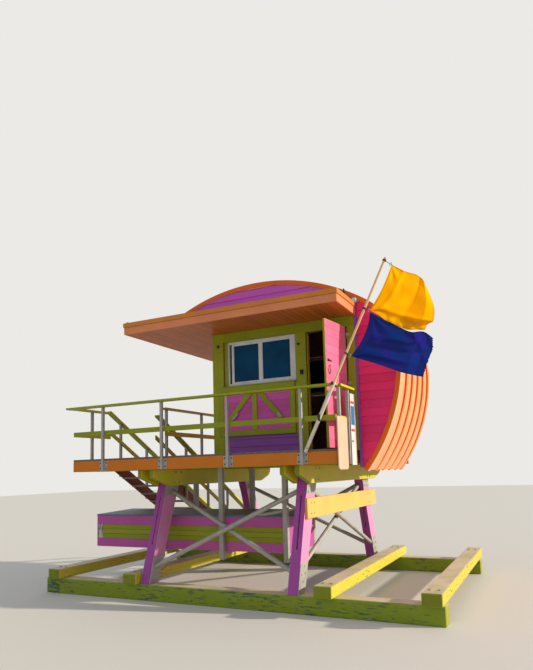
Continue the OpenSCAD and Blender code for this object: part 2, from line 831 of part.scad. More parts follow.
// White sliding-window frames in the front and rear walls
module window_frame(y0) {
    f = frame_w;
    a = [window_x, y0, deck_z + window_z];
    b = [window_x + window_w, y0 + frame_d, deck_z + window_z + window_h];
    mid = (a[0] + b[0]) / 2;
    difference() {
        block(a, b);
        block([a[0] + f, a[1] - 1, a[2] + f], [mid - f / 2, b[1] + 1, b[2] - f]);
        block([mid + f / 2, a[1] - 1, a[2] + f], [b[0] - f, b[1] + 1, b[2] - f]);
    }
}
module window_frames() {
    color("white") for (y = frame_y) window_frame(y);
}

// Two panes in each frame
module window_glass() {
    f = frame_w;
    mid = window_x + window_w / 2;
    color("steelblue") for (y = [for (y0 = frame_y) y0 + (frame_d - glass_t) / 2])
        for (x = [[window_x + f, mid - f / 2], [mid + f / 2, window_x + window_w - f]])
            block([x[0], y, deck_z + window_z + f],
                [x[1], y + glass_t, deck_z + window_z + window_h - f]);
}

// Hinge line of the door, on the right side of the doorway
hinge_r = 11;
pin_r = 6;
hinge_gap = 2;
hinge_x = door_x + door_w - hinge_gap;
hinge_y = cabin_y - trim_t - hinge_r - hinge_gap;
hinge_h = 100;
// Widths of the hinge plates on the leaf and beside the doorway
leaf_plate = 60;
side_plate = 50;
// Height of the leaf's lower edge above the deck
leaf_z = 30;
hinge_zs = [for (f = [0.1, 0.5, 0.9]) deck_z + f * door_h];

// The door leaf with its hinge knuckles, standing open
module cabin_door() {
    x0 = door_x + leaf_gap;
    x1 = door_x + door_w - leaf_gap;
    y0 = cabin_y - trim_t;
    color(pink) translate([hinge_x, hinge_y, 0]) rotate([0, 0, door_open])
        translate([-hinge_x, -hinge_y, 0]) difference() {
            union() {
                block([x0, y0, deck_z + leaf_z], [x1, y0 + leaf_t, deck_z + door_h - leaf_gap]);
                for (z = hinge_zs) {
                    translate([hinge_x, hinge_y, z]) cylinder(r = hinge_r, h = hinge_h / 2 - 1);
                    block([x1 - leaf_plate, hinge_y, z],
                        [hinge_x, y0 + 1, z + hinge_h / 2 - 1]);
                }
            }
            for (z = hinge_zs) translate([hinge_x, hinge_y, z - 1])
                cylinder(r = pin_r + pin_gap, h = hinge_h);
        }
}

// Hinge plates and pins fixed beside the doorway
module door_hinges() {
    y0 = cabin_y - trim_t;
    color(steel) for (z = hinge_zs) {
        translate([hinge_x, hinge_y, z]) cylinder(r = pin_r, h = hinge_h);
        translate([hinge_x, hinge_y, z + hinge_h / 2]) cylinder(r = hinge_r, h = hinge_h / 2);
        block([hinge_x, hinge_y, z + hinge_h / 2], [hinge_x + side_plate, y0, z + hinge_h]);
    }
}

// Front wall over the doorway and above the porch soffit, up to the shell
module front_gable() {
    color("crimson") difference() {
        under_shell(shell_t + seat, cabin_y, wall_t, soffit);
        block([0, 0, 0], [cabin_x, deck_d, roof_z]);
    }
    color("crimson") block([door_x, cabin_y, deck_z + door_h],
        [door_x + door_w, cabin_y + wall_t, soffit + 1]);
}

// Rear wall with a window, in two lengths that meet level with the porch roof's top
module rear_wall() {
    y0 = cabin_back - wall_t;
    color("crimson") {
        under_shell(shell_t + seat, y0, wall_t, roof_z + seat);
        difference() {
            under_shell(shell_t + seat, y0, wall_t, gable_low);
            block([0, 0, roof_z], [side_x + side_r, deck_d, arch_z + arch_r]);
            block([0, 0, 0], [corner_x, deck_d, deck_z]);
            block([0, 0, 0], [cabin_x, deck_d, roof_z + 1]);
            block([window_x, y0 - 1, deck_z + window_z],
                [window_x + window_w, y0 + wall_t + 1, deck_z + window_z + window_h]);
        }
    }
}

// Left wall, up to the underside of the shell
module left_wall() {
    y0 = cabin_y + wall_t;
    d = cabin_d - 2 * wall_t;
    color(pink) intersection() {
        block([cabin_x, y0, deck_z], [cabin_x + wall_t, y0 + d, arch_z + arch_r]);
        translate([arch_x, y0 + d, arch_z]) rotate([90, 0, 0])
            cylinder(r = arch_r - shell_t - seat, h = d, $fn = 360);
    }
}

// The curved shell, in three lengths
module roof_shell() {
    color("peachpuff") roof_band(-shell_t, 0, cabin_y, cabin_d);
}
module shoulder_shell() {
    color("peachpuff") shoulder_band(-shell_t, 0, cabin_y, cabin_d);
}
module side_shell() {
    color("peachpuff") side_band(-shell_t, 0, cabin_y, cabin_d);
}

// Raised ribs that follow the shell from eave to skirt
module shell_ribs() {
    pitch = (cabin_d - rib_w) / (ribs - 1);
    color(orange) for (i = [0:ribs - 1]) {
        y = cabin_y + i * pitch;
        roof_band(seat, rib_t, y, rib_w);
        shoulder_band(seat, rib_t, y, rib_w);
        side_band(seat, rib_t, y, rib_w);
    }
}

// Boards that cover the front and rear edges of the shell
module arch_trims() {
    color(orange) for (y = [cabin_y - trim_t, cabin_back]) {
        roof_band(rib_t - arch_trim, rib_t, y, trim_t);
        shoulder_band(rib_t - arch_trim, rib_t, y, trim_t);
        side_band(rib_t - arch_trim, rib_t, y, trim_t);
    }
}

// Flat roof over the front walkway, with a wing beside the cabin
module porch_roof() {
    y1 = cabin_y - trim_t;
    color(orange) {
        block([canopy_x, canopy_y, soffit], [canopy_end, y1, roof_z]);
        block([canopy_x, y1 + seat, soffit], [cabin_x, cabin_back, roof_z]);
    }
}

// The flagpole stands in a tube that leans along the front and against the top rail;
// its own frame has Z along it and X to the right
module on_pole() {
    translate([pole_x, pole_y, board_z]) rotate([pole_out, pole_lean, 0]) children();
}
module flagpole() {
    color("wheat") on_pole() translate([0, 0, pole_in]) cylinder(d = pole_d, h = pole_l - pole_in);
    color("white") on_pole() difference() {
        cylinder(d = tube_d, h = tube_l);
        translate([0, 0, -1]) cylinder(d = pole_d + 2 * pole_gap, h = tube_l + 2);
    }
}

// A flag as a flat sheet in the pole's frame
module flag(points) {
    on_pole() translate([0, flag_t / 2, 0]) rotate([90, 0, 0]) linear_extrude(flag_t)
        polygon(points);
}
module yellow_flag() {
    color("gold") flag(yellow_points);
}
module navy_flag() {
    color("navy") flag(navy_points);
}

// Plain panel on the right end of the walkway
panel_y = -panel_out;
panel_over = 10;
panel_z = deck_z + mid_z + panel_over;
module rail_panel() {
    x = deck_w + post_s;
    color("antiquewhite") block([x, panel_y, panel_z - panel_h],
        [x + panel_t, panel_y + panel_w, panel_z]);
}

// Notice board beside it, with a bare face
module notice_board() {
    // its top, below the top of the rail
    drop = 100;
    x = deck_w + post_s;
    y = panel_y + panel_w + notice_gap;
    z = deck_z + rail_z - drop;
    color("white") block([x, y, z - notice_h], [x + panel_t, y + notice_w, z]);
}

// Puts the origin on the ground under the middle of the tower
module place() {
    translate([-x_mid, -y_mid, 0]) children();
}

place() ground_sills();
place() sled_timbers();
place() front_left_leg();
place() front_right_leg();
place() rear_left_leg();
place() rear_right_leg();
place() leg_plates();
place() leg_braces();
place() deck_beams();
place() deck_joists();
place() deck_rims();
place() deck_floor();
place() stair_stringers();
place() stair_treads();
place() stair_rails();
place() front_rail();
place() side_rails();
place() rear_rails();
place() locker_box();
place() locker_lid();
place() locker_hangers();
place() sign_board();
place() cabin_floor();
place() window_wall();
place() corner_wall();
place() front_trim();
place() window_shutter();
place() window_frames();
place() window_glass();
place() cabin_door();
place() door_hinges();
place() front_gable();
place() left_wall();
place() rear_wall();
place() roof_shell();
place() shoulder_shell();
place() side_shell();
place() shell_ribs();
place() arch_trims();
place() porch_roof();
place() flagpole();
place() yellow_flag();
place() navy_flag();
place() rail_panel();
place() notice_board();
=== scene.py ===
import math

import bmesh
import bpy
import numpy as np
from mathutils import Matrix, Vector


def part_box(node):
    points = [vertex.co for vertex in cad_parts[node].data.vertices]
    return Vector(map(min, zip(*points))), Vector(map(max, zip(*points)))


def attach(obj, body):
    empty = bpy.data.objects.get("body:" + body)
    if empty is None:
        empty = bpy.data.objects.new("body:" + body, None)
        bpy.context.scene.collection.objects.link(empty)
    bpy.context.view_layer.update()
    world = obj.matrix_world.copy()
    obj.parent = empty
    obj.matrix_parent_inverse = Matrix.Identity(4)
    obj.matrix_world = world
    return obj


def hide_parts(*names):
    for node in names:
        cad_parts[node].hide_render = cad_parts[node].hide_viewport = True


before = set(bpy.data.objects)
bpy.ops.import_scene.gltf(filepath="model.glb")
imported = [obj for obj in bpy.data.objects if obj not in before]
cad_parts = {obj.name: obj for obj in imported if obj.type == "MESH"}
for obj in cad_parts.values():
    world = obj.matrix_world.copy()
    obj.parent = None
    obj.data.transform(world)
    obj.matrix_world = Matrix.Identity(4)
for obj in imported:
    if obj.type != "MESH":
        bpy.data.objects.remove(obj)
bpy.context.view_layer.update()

scene = bpy.context.scene

# The sled: two ground sills and four timbers laid across them. Rough-sawn softwood beams,
# brushed with green paint that sun and sand have worn off the tops, and held together by
# long bolts where they cross.
deck_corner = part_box("deck_floor")[0]


def at(x, y, z):
    """A point in millimetres from the deck's front left corner, Z above the ground"""
    return Vector((deck_corner.x + x / 1000, deck_corner.y + y / 1000, z / 1000))


def closed(n):
    """The faces of a solid between two outlines of n points each"""
    sides = [(k, (k + 1) % n, n + (k + 1) % n, n + k) for k in range(n)]
    return [tuple(range(n)), tuple(range(n, 2 * n))] + sides


def prism(outline, lo, hi, plane="xy"):
    """A solid cut along an outline in one plane, from lo to hi across it"""
    order = {"xy": (0, 1, 2), "yz": (2, 0, 1), "xz": (0, 2, 1)}[plane]
    points = [at(*[(a, b, c)[k] for k in order]) for c in (lo, hi) for a, b in outline]
    return points, closed(len(outline))


def board(x0, x1, y0, y1, z0, z1):
    """A straight board between two corners"""
    return prism([(x0, y0), (x1, y0), (x1, y1), (x0, y1)], z0, z1)


def read(items, field, width=1, kind=float):
    """One field of all the items of a mesh"""
    values = np.empty(len(items) * width, kind)
    items.foreach_get(field, values)
    return values


def grain(mesh, seed):
    """UV in metres along and across each board, its tone, and which faces are cut ends"""
    points = read(mesh.vertices, "co", 3).reshape(-1, 3)
    a, b = read(mesh.edges, "vertices", 2, int).reshape(-1, 2).T
    corners = read(mesh.loops, "vertex_index", kind=int)
    piece, lower = None, np.arange(len(points))
    while piece is None or (lower != piece).any():
        piece, lower = lower, lower.copy()
        np.minimum.at(lower, a, piece[b])
        np.minimum.at(lower, b, piece[a])
    names, piece = np.unique(piece, return_inverse=True)
    tone = np.random.default_rng(seed).random(len(names))
    axes = np.empty((len(names), 3))
    for k in range(len(names)):
        own = points[piece == k] - points[piece == k].mean(0)
        axes[k] = np.linalg.eigh(own.T @ own)[1][:, 2]
    normals = np.repeat(read(mesh.polygons, "normal", 3).reshape(-1, 3),
                        read(mesh.polygons, "loop_total", kind=int), axis=0)
    along = axes[piece[corners]]
    ends = np.abs((normals * along).sum(1)) > 0.8
    spare = np.where(np.abs(normals[:, 2:]) > 0.9, (1.0, 0.0, 0.0), (0.0, 0.0, 1.0))
    along = np.where(ends[:, None], np.cross(normals, spare), along)
    across = np.cross(normals, along)
    here = points[corners]
    uv = np.stack([(here * along).sum(1), (here * across).sum(1)], 1)
    mesh.uv_layers.new(name="grain").data.foreach_set("uv", uv.astype(np.float32).ravel())
    for name, domain, values in (("tone", "POINT", tone[piece]), ("cut_end", "CORNER", ends)):
        mesh.attributes.new(name, "FLOAT", domain).data.foreach_set(
            "value", values.astype(np.float32))


def settled(name, bm):
    """A mesh from what was edited, which is freed"""
    mesh = bpy.data.meshes.new(name)
    bm.to_mesh(mesh)
    bm.free()
    return mesh


def joined(name, solids, ease=0, seed=1):
    """One mesh of many solids, with their edges eased by that many millimetres"""
    bm = bmesh.new()
    for points, faces in solids:
        verts = [bm.verts.new(p) for p in points]
        for face in faces:
            bm.faces.new([verts[k] for k in face])
    bmesh.ops.recalc_face_normals(bm, faces=bm.faces)
    if ease:
        sharp = [e for e in bm.edges if e.is_manifold and e.calc_face_angle() > 0.35]
        bmesh.ops.bevel(bm, geom=sharp, offset=ease / 1000, segments=1, profile=0.5,
                        affect="EDGES", clamp_overlap=True)
    mesh = settled(name, bm)
    grain(mesh, seed)
    return mesh


def linked(name, data):
    """An object in the scene"""
    obj = bpy.data.objects.new(name, data)
    scene.collection.objects.link(obj)
    return obj


def fitted(name, mesh, material, replaces=(), body="tower"):
    """A finished piece in its place, on its body, with its finish"""
    obj = linked(name, mesh)
    mesh.materials.clear()
    mesh.materials.append(material)
    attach(obj, body)
    if replaces:
        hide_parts(*replaces)
    return obj


def built(name, solids, ease, seed, material, replaces=(), body="tower", turned=None):
    """A finished piece made of many solids, turned with its body where that stands open"""
    mesh = joined(name, solids, ease, seed)
    if turned:
        mesh.transform(turned)
    return fitted(name, mesh, material, replaces, body)


def linear(code, lift=1.0):
    """An sRGB hex colour as linear light, lifted or darkened by a factor"""
    parts = [int(code[k:k + 2], 16) / 255 for k in (1, 3, 5)]
    parts = [c / 12.92 if c <= 0.04045 else ((c + 0.055) / 1.055) ** 2.4 for c in parts]
    return [min(1.0, c * lift) for c in parts] + [1.0]


def add(tree, kind, links=None, **settings):
    """Adds a node with its settings; an input takes a value, another node's socket, or a
    node itself for its first output in use"""
    node = tree.nodes.new(kind)
    for key, value in settings.items():
        setattr(node, key, value)
    for key, value in (links or {}).items():
        if isinstance(value, bpy.types.Node):
            value = next(socket for socket in value.outputs if socket.enabled)
        if isinstance(value, bpy.types.NodeSocket):
            tree.links.new(value, node.inputs[key])
        else:
            node.inputs[key].default_value = value
    return node


def blank(name):
    """An empty material and its tree"""
    material = bpy.data.materials.new(name)
    material.use_nodes = True
    material.node_tree.nodes.clear()
    return material, material.node_tree


def oil_paint(name, code, chips=0.35, dust=0.0, bare="#9c8468", rough=0.5, ends=0.35,
              sides=None, lit_side_colour=None):
    """Exterior oil paint brushed on sawn softwood: the grain stands through the film, the
    colour fades in patches and from board to board, and it chips to grey-brown wood. Faces
    to the front and rear can take a darker colour that is painted shade, and faces to the
    right a paler colour that is painted sunlight"""
    material, tree = blank(name)
    tone = add(tree, "ShaderNodeAttribute", attribute_name="tone").outputs["Fac"]
    place = add(tree, "ShaderNodeTexCoord").outputs
    slide = add(tree, "ShaderNodeCombineXYZ", {
        k: add(tree, "ShaderNodeMath", {0: tone, 1: far}, operation="MULTIPLY")
        for k, far in enumerate((13.7, 7.3))})
    uv = add(tree, "ShaderNodeVectorMath", {0: add(tree, "ShaderNodeUVMap", uv_map="grain"),
                                            1: slide}, operation="ADD")
    # grain lines about 8 mm apart, drawn coarser than real ones so that they show
    along = add(tree, "ShaderNodeMapping", {0: uv, "Scale": (5, 120, 1)})
    lines = add(tree, "ShaderNodeTexNoise", {"Vector": along, "Scale": 1.0, "Detail": 4.0,
                                             "Roughness": 0.65})
    patches = add(tree, "ShaderNodeTexNoise", {"Vector": place["Object"], "Scale": 2.3,
                                               "Detail": 3.0})
    flakes = add(tree, "ShaderNodeMapping", {0: uv, "Scale": (5, 30, 1)})
    flake = add(tree, "ShaderNodeTexNoise", {"Vector": flakes, "Scale": 1.0, "Detail": 6.0,
                                             "Roughness": 0.7})
    shade = add(tree, "ShaderNodeMath", {0: tone, 1: 0.45}, operation="MULTIPLY")
    for source, weight in ((patches, 0.75), (lines, 0.35)):
        shade = add(tree, "ShaderNodeMath", {0: source, 1: weight, 2: shade},
                    operation="MULTIPLY_ADD")
    body = add(tree, "ShaderNodeMix", {0: shade, 6: linear(code, 0.72), 7: linear(code, 1.22)},
               data_type="RGBA")
    turned = add(tree, "ShaderNodeSeparateXYZ", {0: place["Normal"]}).outputs
    front = sides and add(tree, "ShaderNodeMath", {0: turned[1]}, operation="ABSOLUTE")
    # front and rear faces get painted shade, faces to the right get painted sunlight
    for other, facing, start, full, dark, light in ((sides, front, 0.6, 0.8, 0.75, 1.2),
                                                    (lit_side_colour, turned[0], 0.5, 0.85, 0.8, 1.15)):
        if other:
            share = add(tree, "ShaderNodeMapRange", {0: facing, 1: start, 2: full})
            own = add(tree, "ShaderNodeMix", {0: shade, 6: linear(other, dark),
                                              7: linear(other, light)}, data_type="RGBA")
            body = add(tree, "ShaderNodeMix", {0: share, 6: body, 7: own}, data_type="RGBA")
    spread = add(tree, "ShaderNodeMath", {0: patches, 1: chips * 0.5, 2: flake},
                 operation="MULTIPLY_ADD")
    worn = add(tree, "ShaderNodeMapRange", {0: spread, 1: 0.74, 2: 0.79})
    wood = add(tree, "ShaderNodeMix", {0: lines, 6: linear(bare, 0.6), 7: linear(bare, 1.3)},
               data_type="RGBA")
    colour = add(tree, "ShaderNodeMix", {0: worn, 6: body, 7: wood}, data_type="RGBA")
    if dust:
        flat = add(tree, "ShaderNodeMapRange", {0: turned[2], 1: 0.6, 2: 0.95, 4: dust})
        grit = add(tree, "ShaderNodeMapRange", {0: patches, 1: 0.3, 2: 0.6, 3: 0.55})
        top = add(tree, "ShaderNodeMath", {0: flat, 1: grit}, operation="MULTIPLY")
        sand = add(tree, "ShaderNodeMix", {0: lines, 6: linear("#c9b190"),
                                           7: linear("#f6e4c8")}, data_type="RGBA")
        colour = add(tree, "ShaderNodeMix", {0: top, 6: colour, 7: sand}, data_type="RGBA")
    cut = add(tree, "ShaderNodeAttribute", attribute_name="cut_end").outputs["Fac"]
    rim = add(tree, "ShaderNodeMath", {0: cut, 1: ends}, operation="MULTIPLY")
    colour = add(tree, "ShaderNodeMix", {0: rim, 6: colour, 7: linear(code, 0.25)},
                 data_type="RGBA")
    height = add(tree, "ShaderNodeMath", {0: worn, 1: -0.5, 2: lines}, operation="MULTIPLY_ADD")
    bump = add(tree, "ShaderNodeBump", {"Height": height, "Strength": 0.5, "Distance": 0.002})
    coarse = add(tree, "ShaderNodeMapRange", {0: worn, 3: rough, 4: 0.85})
    shader = add(tree, "ShaderNodeBsdfPrincipled", {
        "Base Color": colour, "Roughness": coarse, "IOR": 1.48, "Specular IOR Level": 0.35,
        "Normal": bump})
    add(tree, "ShaderNodeOutputMaterial", {0: shader})
    return material


# Faces to the right of these greens take a paler yellow, which is painted sunlight.
sled_paint = oil_paint("worn_green_timber_paint", "#8b9510", chips=0.6, dust=0.9, bare="#5f6a4a",
                       lit_side_colour="#cbbd3a")
sill_paint = oil_paint("flaked_green_sill_paint", "#83951a", chips=0.76, dust=0.9, bare="#4e6450",
                       lit_side_colour="#b9b83c")
green_paint = oil_paint("green_oil_paint", "#8a930a", chips=0.3, lit_side_colour="#c8bb22")
sill_s, sill_x, sill_y = 290, (-700, 7040), (30, 4480)
timber_w, timber_h, timber_x, timber_y = 300, 190, (-560, 1300, 5060, 6720), (-70, 5050)
sills = [board(*sill_x, y, y + sill_s, 0, sill_s) for y in sill_y]
built("ground_sill_timbers", sills, 12, 3, sill_paint, ["ground_sills"])
timbers = [board(x, x + timber_w, *timber_y, sill_s, sill_s + timber_h) for x in timber_x]
built("sled_cross_timbers", timbers, 10, 11, sled_paint, ["sled_timbers"])

# Bolt heads and screws: one hexagon head on a round washer, set on each marked point and
# turned by chance, as a hand leaves them. Hot-dip galvanised steel.


def fresh_tree(name, **kinds):
    """A Geometry Nodes tree with its inputs, named by kind, and a material"""
    tree = bpy.data.node_groups.new(name, "GeometryNodeTree")
    face = tree.interface
    face.new_socket("Geometry", in_out="INPUT", socket_type="NodeSocketGeometry")
    for kind, labels in {**kinds, "Material": ["Material"]}.items():
        for label in labels:
            face.new_socket(label, in_out="INPUT", socket_type="NodeSocket" + kind)
    face.new_socket("Geometry", in_out="OUTPUT", socket_type="NodeSocketGeometry")
    return tree, add(tree, "NodeGroupInput").outputs


def end_tree(tree, given, shape):
    """Ends a tree in real geometry with its material"""
    real = add(tree, "GeometryNodeRealizeInstances", {0: shape})
    done = add(tree, "GeometryNodeSetMaterial", {0: real, "Material": given["Material"]})
    add(tree, "NodeGroupOutput", {0: done})
    return tree


def drawn(name, points, edges=(), faces=()):
    """A mesh of points, edges and faces"""
    mesh = bpy.data.meshes.new(name)
    mesh.from_pydata(points, edges, faces)
    return mesh


def grown(name, host, tree, sizes, **values):
    """Runs a tree on a host mesh, with sizes in millimetres, and returns a plain mesh"""
    for key, size in sizes.items():
        values[key] = size / 1000 if isinstance(size, (int, float)) else [v / 1000 for v in size]
    obj = linked(name, host)
    grower = obj.modifiers.new("grow", "NODES")
    grower.node_group = tree
    for item in tree.interface.items_tree:
        if item.in_out == "INPUT" and item.name in values:
            grower[item.identifier] = values[item.name]
    graph = bpy.context.evaluated_depsgraph_get()
    mesh = bpy.data.meshes.new_from_object(obj.evaluated_get(graph), preserve_all_data_layers=True,
                                           depsgraph=graph)
    mesh.name = name
    bpy.data.objects.remove(obj)
    return mesh


tree, given = fresh_tree("Fixings", Int=["Seed"], Float=["Head radius", "Head height",
                                                         "Washer radius", "Washer height"])
facing = add(tree, "GeometryNodeInputNamedAttribute", {"Name": "facing"},
             data_type="FLOAT_VECTOR")
upright = add(tree, "FunctionNodeAlignRotationToVector", {"Vector": facing}, axis="Z")
turn = add(tree, "FunctionNodeRandomValue", {3: 6.28, "Seed": given["Seed"]}, data_type="FLOAT")
twist = add(tree, "FunctionNodeAxisAngleToRotation", {"Angle": turn})
spun = add(tree, "FunctionNodeRotateRotation", {0: upright, 1: twist}, rotation_space="LOCAL")
half = add(tree, "ShaderNodeMath", {0: given["Head height"], 1: 0.5}, operation="MULTIPLY")
above = add(tree, "ShaderNodeMath", {0: half, 1: given["Washer height"]}, operation="ADD")
flat = add(tree, "ShaderNodeMath", {0: given["Washer height"], 1: 0.5}, operation="MULTIPLY")
bolt = add(tree, "GeometryNodeJoinGeometry")
for label, corners, rise in (("Head", 6, above), ("Washer", 12, flat)):
    disc = add(tree, "GeometryNodeMeshCylinder", {
        "Vertices": corners, "Radius": given[label + " radius"],
        "Depth": given[label + " height"]})
    disc = add(tree, "GeometryNodeTransform", {
        0: disc, "Translation": add(tree, "ShaderNodeCombineXYZ", {2: rise})})
    tree.links.new(disc.outputs[0], bolt.inputs[0])
spots = add(tree, "GeometryNodeInstanceOnPoints", {
    "Points": given["Geometry"], "Instance": bolt, "Rotation": spun})
fixing_tree = end_tree(tree, given, spots)


def galvanised(name, code="#aeaaa1", rough=0.48):
    """Hot-dip galvanised steel, weathered dull by salt: grey zinc with faint cloudy spangle
    a hand's width across and a broad soft shine"""
    material, tree = blank(name)
    place = add(tree, "ShaderNodeTexCoord").outputs["Object"]
    clouds = add(tree, "ShaderNodeTexNoise", {"Vector": place, "Scale": 9.0, "Detail": 5.0})
    spangle = add(tree, "ShaderNodeTexVoronoi", {"Vector": place, "Scale": 45.0})
    both = add(tree, "ShaderNodeMath", {0: spangle.outputs["Color"], 1: 0.3, 2: clouds},
               operation="MULTIPLY_ADD")
    colour = add(tree, "ShaderNodeMix", {0: both, 6: linear(code, 0.62), 7: linear(code, 1.15)},
                 data_type="RGBA")
    dull = add(tree, "ShaderNodeMapRange", {0: both, 1: 0.3, 2: 0.9, 3: rough, 4: rough + 0.22})
    bump = add(tree, "ShaderNodeBump", {"Height": clouds, "Strength": 0.25, "Distance": 0.001})
    shader = add(tree, "ShaderNodeBsdfPrincipled", {"Base Color": colour, "Roughness": dull,
                                                    "Metallic": 0.3, "Normal": bump})
    add(tree, "ShaderNodeOutputMaterial", {0: shader})
    return material


zinc = galvanised("galvanised_steel")


def bolts(name, spots, head=(11, 8), washer=(18, 3), material=zinc):
    """Bolt heads on points in millimetres, each with the direction that it faces"""
    host = drawn(name, [at(*p) for p, _ in spots])
    host.attributes.new("facing", "FLOAT_VECTOR", "POINT").data.foreach_set(
        "vector", np.array([n for _, n in spots], np.float32).ravel())
    mesh = grown(name, host, fixing_tree, {
        "Head radius": head[0], "Head height": head[1], "Washer radius": washer[0],
        "Washer height": washer[1]}, Seed=5, Material=material)
    fitted(name, mesh, material)


bolt_apart = 140
bolts("sled_bolts", [((x + (timber_w + s * bolt_apart) / 2, y + sill_s / 2, sill_s + timber_h),
                      (0, 0, 1)) for x in timber_x for y in sill_y for s in (-1, 1)],
      (17, 12), (32, 5))

# The four legs: each is two heavy planks with blocks between them, leaning in towards the
# deck beams. Purple oil paint rubbed at the edges, with a pink on faces to the right that is
# painted sunlight.


def cad_solids(node, keep=None):
    """The separate solids of a CAD node whose size passes the test, with flat faces whole"""
    bm = bmesh.new()
    bm.from_mesh(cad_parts[node].data)
    bmesh.ops.remove_doubles(bm, verts=bm.verts, dist=1e-5)
    bmesh.ops.dissolve_limit(bm, angle_limit=math.radians(2), verts=bm.verts, edges=bm.edges)
    seen, found = set(), []
    for first in bm.verts:
        if first in seen:
            continue
        group, queue = [first], [first]
        seen.add(first)
        while queue:
            vert = queue.pop()
            for other in [edge.other_vert(vert) for edge in vert.link_edges]:
                if other not in seen:
                    seen.add(other)
                    group.append(other)
                    queue.append(other)
        points = [vert.co.copy() for vert in group]
        size = Vector([max(p[i] for p in points) - min(p[i] for p in points) for i in range(3)])
        if keep and not keep(size):
            continue
        place = {vert: k for k, vert in enumerate(group)}
        faces = {face.index: [place[v] for v in face.verts]
                 for vert in group for face in vert.link_faces}
        found.append((points, [faces[k] for k in sorted(faces)]))
    bm.free()
    return found


def from_cad(name, node, ease, seed, material, keep=None):
    """A finished piece made of a CAD node's own solids"""
    return built(name, cad_solids(node, keep), ease, seed, material, [node])


# pink on faces to the right is painted sunlight on the purple paint
leg_paint = oil_paint("purple_leg_paint", "#9c4596", chips=0.25, rough=0.45, lit_side_colour="#d387b4")
for k, leg in enumerate(("front_left_leg", "front_right_leg", "rear_left_leg", "rear_right_leg")):
    from_cad(leg + "_planks", leg, 5, 20 + k, leg_paint)

# Galvanised plates on both sides of each leg, at its foot and under the beams, with a row
# of bolts through the planks.
from_cad("leg_plates_galvanised", "leg_plates", 1.5, 30, zinc)
leg_x, leg_rise, base_d, plate_out, beam_out = (1730, 4665), 1760, 4800, 98, 180
foot_y, foot_d, lean, flare = 30, 290, 550, 130


def leg_bolts(name, rows, out, head, washer):
    """Bolts on both sides of all four legs, in rows at a height and at shares of the depth"""
    spots = []
    for x in leg_x:
        for side in (-1, 1):
            for z, shares in rows:
                rise = (z - sill_s) / leg_rise
                for share in shares:
                    y = foot_y + lean * rise + (foot_d + flare * rise) * share
                    spots += [((x + side * out, near, z), (side, 0, 0)) for near in (y, base_d - y)]
    bolts(name, spots, head, washer)


two, one, three = (0.25, 0.75), (0.5,), (0.2, 0.5, 0.8)
leg_bolts("leg_plate_bolts", ((350, two), (470, one), (590, two), (710, one), (1905, three),
                              (2005, three)), plate_out, (12, 9), (20, 3))

# Crossed brace pipes between the legs: galvanised water pipe, each pair side by side where
# the two pass each other.
from_cad("brace_pipes", "leg_braces", 0, 31, zinc)

# Two pairs of deep deck beams with chamfered noses, one on each side of the legs, in the
# same green paint as the rails.
from_cad("deck_beam_timbers", "deck_beams", 6, 40, green_paint)
pair = (0.3, 0.7)
leg_bolts("beam_bolts", ((2110, pair), (2300, pair)), beam_out, (14, 10), (26, 4))

# Joists and the rim boards that close the deck's edge. Joists green, rims ochre orange.
rim_paint = oil_paint("ochre_orange_paint", "#bb680c", chips=0.22)
from_cad("joist_timbers", "deck_joists", 3, 50, green_paint)
from_cad("rim_boards", "deck_rims", 4, 51, rim_paint)

# The boarded deck: softwood boards laid side by side across the joists with narrow gaps,
# bare and bleached by sun and salt, and screwed down in pairs.


def toned_row(tree, given, line, thing):
    """A copy of one thing on each point of a line, each with a tone of its own"""
    row = add(tree, "GeometryNodeInstanceOnPoints", {"Points": line, "Instance": thing})
    chance = add(tree, "FunctionNodeRandomValue", {"Seed": given["Seed"]}, data_type="FLOAT")
    return add(tree, "GeometryNodeStoreNamedAttribute", {0: row, "Name": "tone", "Value": chance},
               data_type="FLOAT", domain="INSTANCE")


tree, given = fresh_tree("Boards side by side", Int=["Count", "Seed"], Vector=["Step", "Jitter"])
line = add(tree, "GeometryNodeMeshLine", {"Count": given["Count"], "Offset": given["Step"]},
           mode="OFFSET")
back = add(tree, "ShaderNodeVectorMath", {0: given["Jitter"], "Scale": -1.0}, operation="SCALE")
wander = add(tree, "FunctionNodeRandomValue", {0: back, 1: given["Jitter"], "Seed": given["Seed"]},
             data_type="FLOAT_VECTOR")
line = add(tree, "GeometryNodeSetPosition", {0: line, "Offset": wander})
row_tree = end_tree(tree, given, toned_row(tree, given, line, given["Geometry"]))


def row_of(name, solid, count, step, material, jitter=(0, 0, 0), ease=3, seed=1):
    """One board, repeated count times by a step in millimetres, as a mesh"""
    host = joined(name + "_one", [solid], ease, seed)
    host.attributes.remove(host.attributes["tone"])
    return grown(name, host, row_tree, {"Step": step, "Jitter": jitter}, Count=count, Seed=seed,
                 Material=material)


def merged(name, meshes):
    """Several meshes as one"""
    bm = bmesh.new()
    for mesh in meshes:
        bm.from_mesh(mesh)
    return settled(name, bm)


def weathered_wood(name, code, gloss=0.8):
    """Bare softwood left to sun and salt: silver-brown, with raised grain lines and darker
    cut ends"""
    return oil_paint(name, code, chips=0.15, bare=code, rough=gloss, ends=0.8)


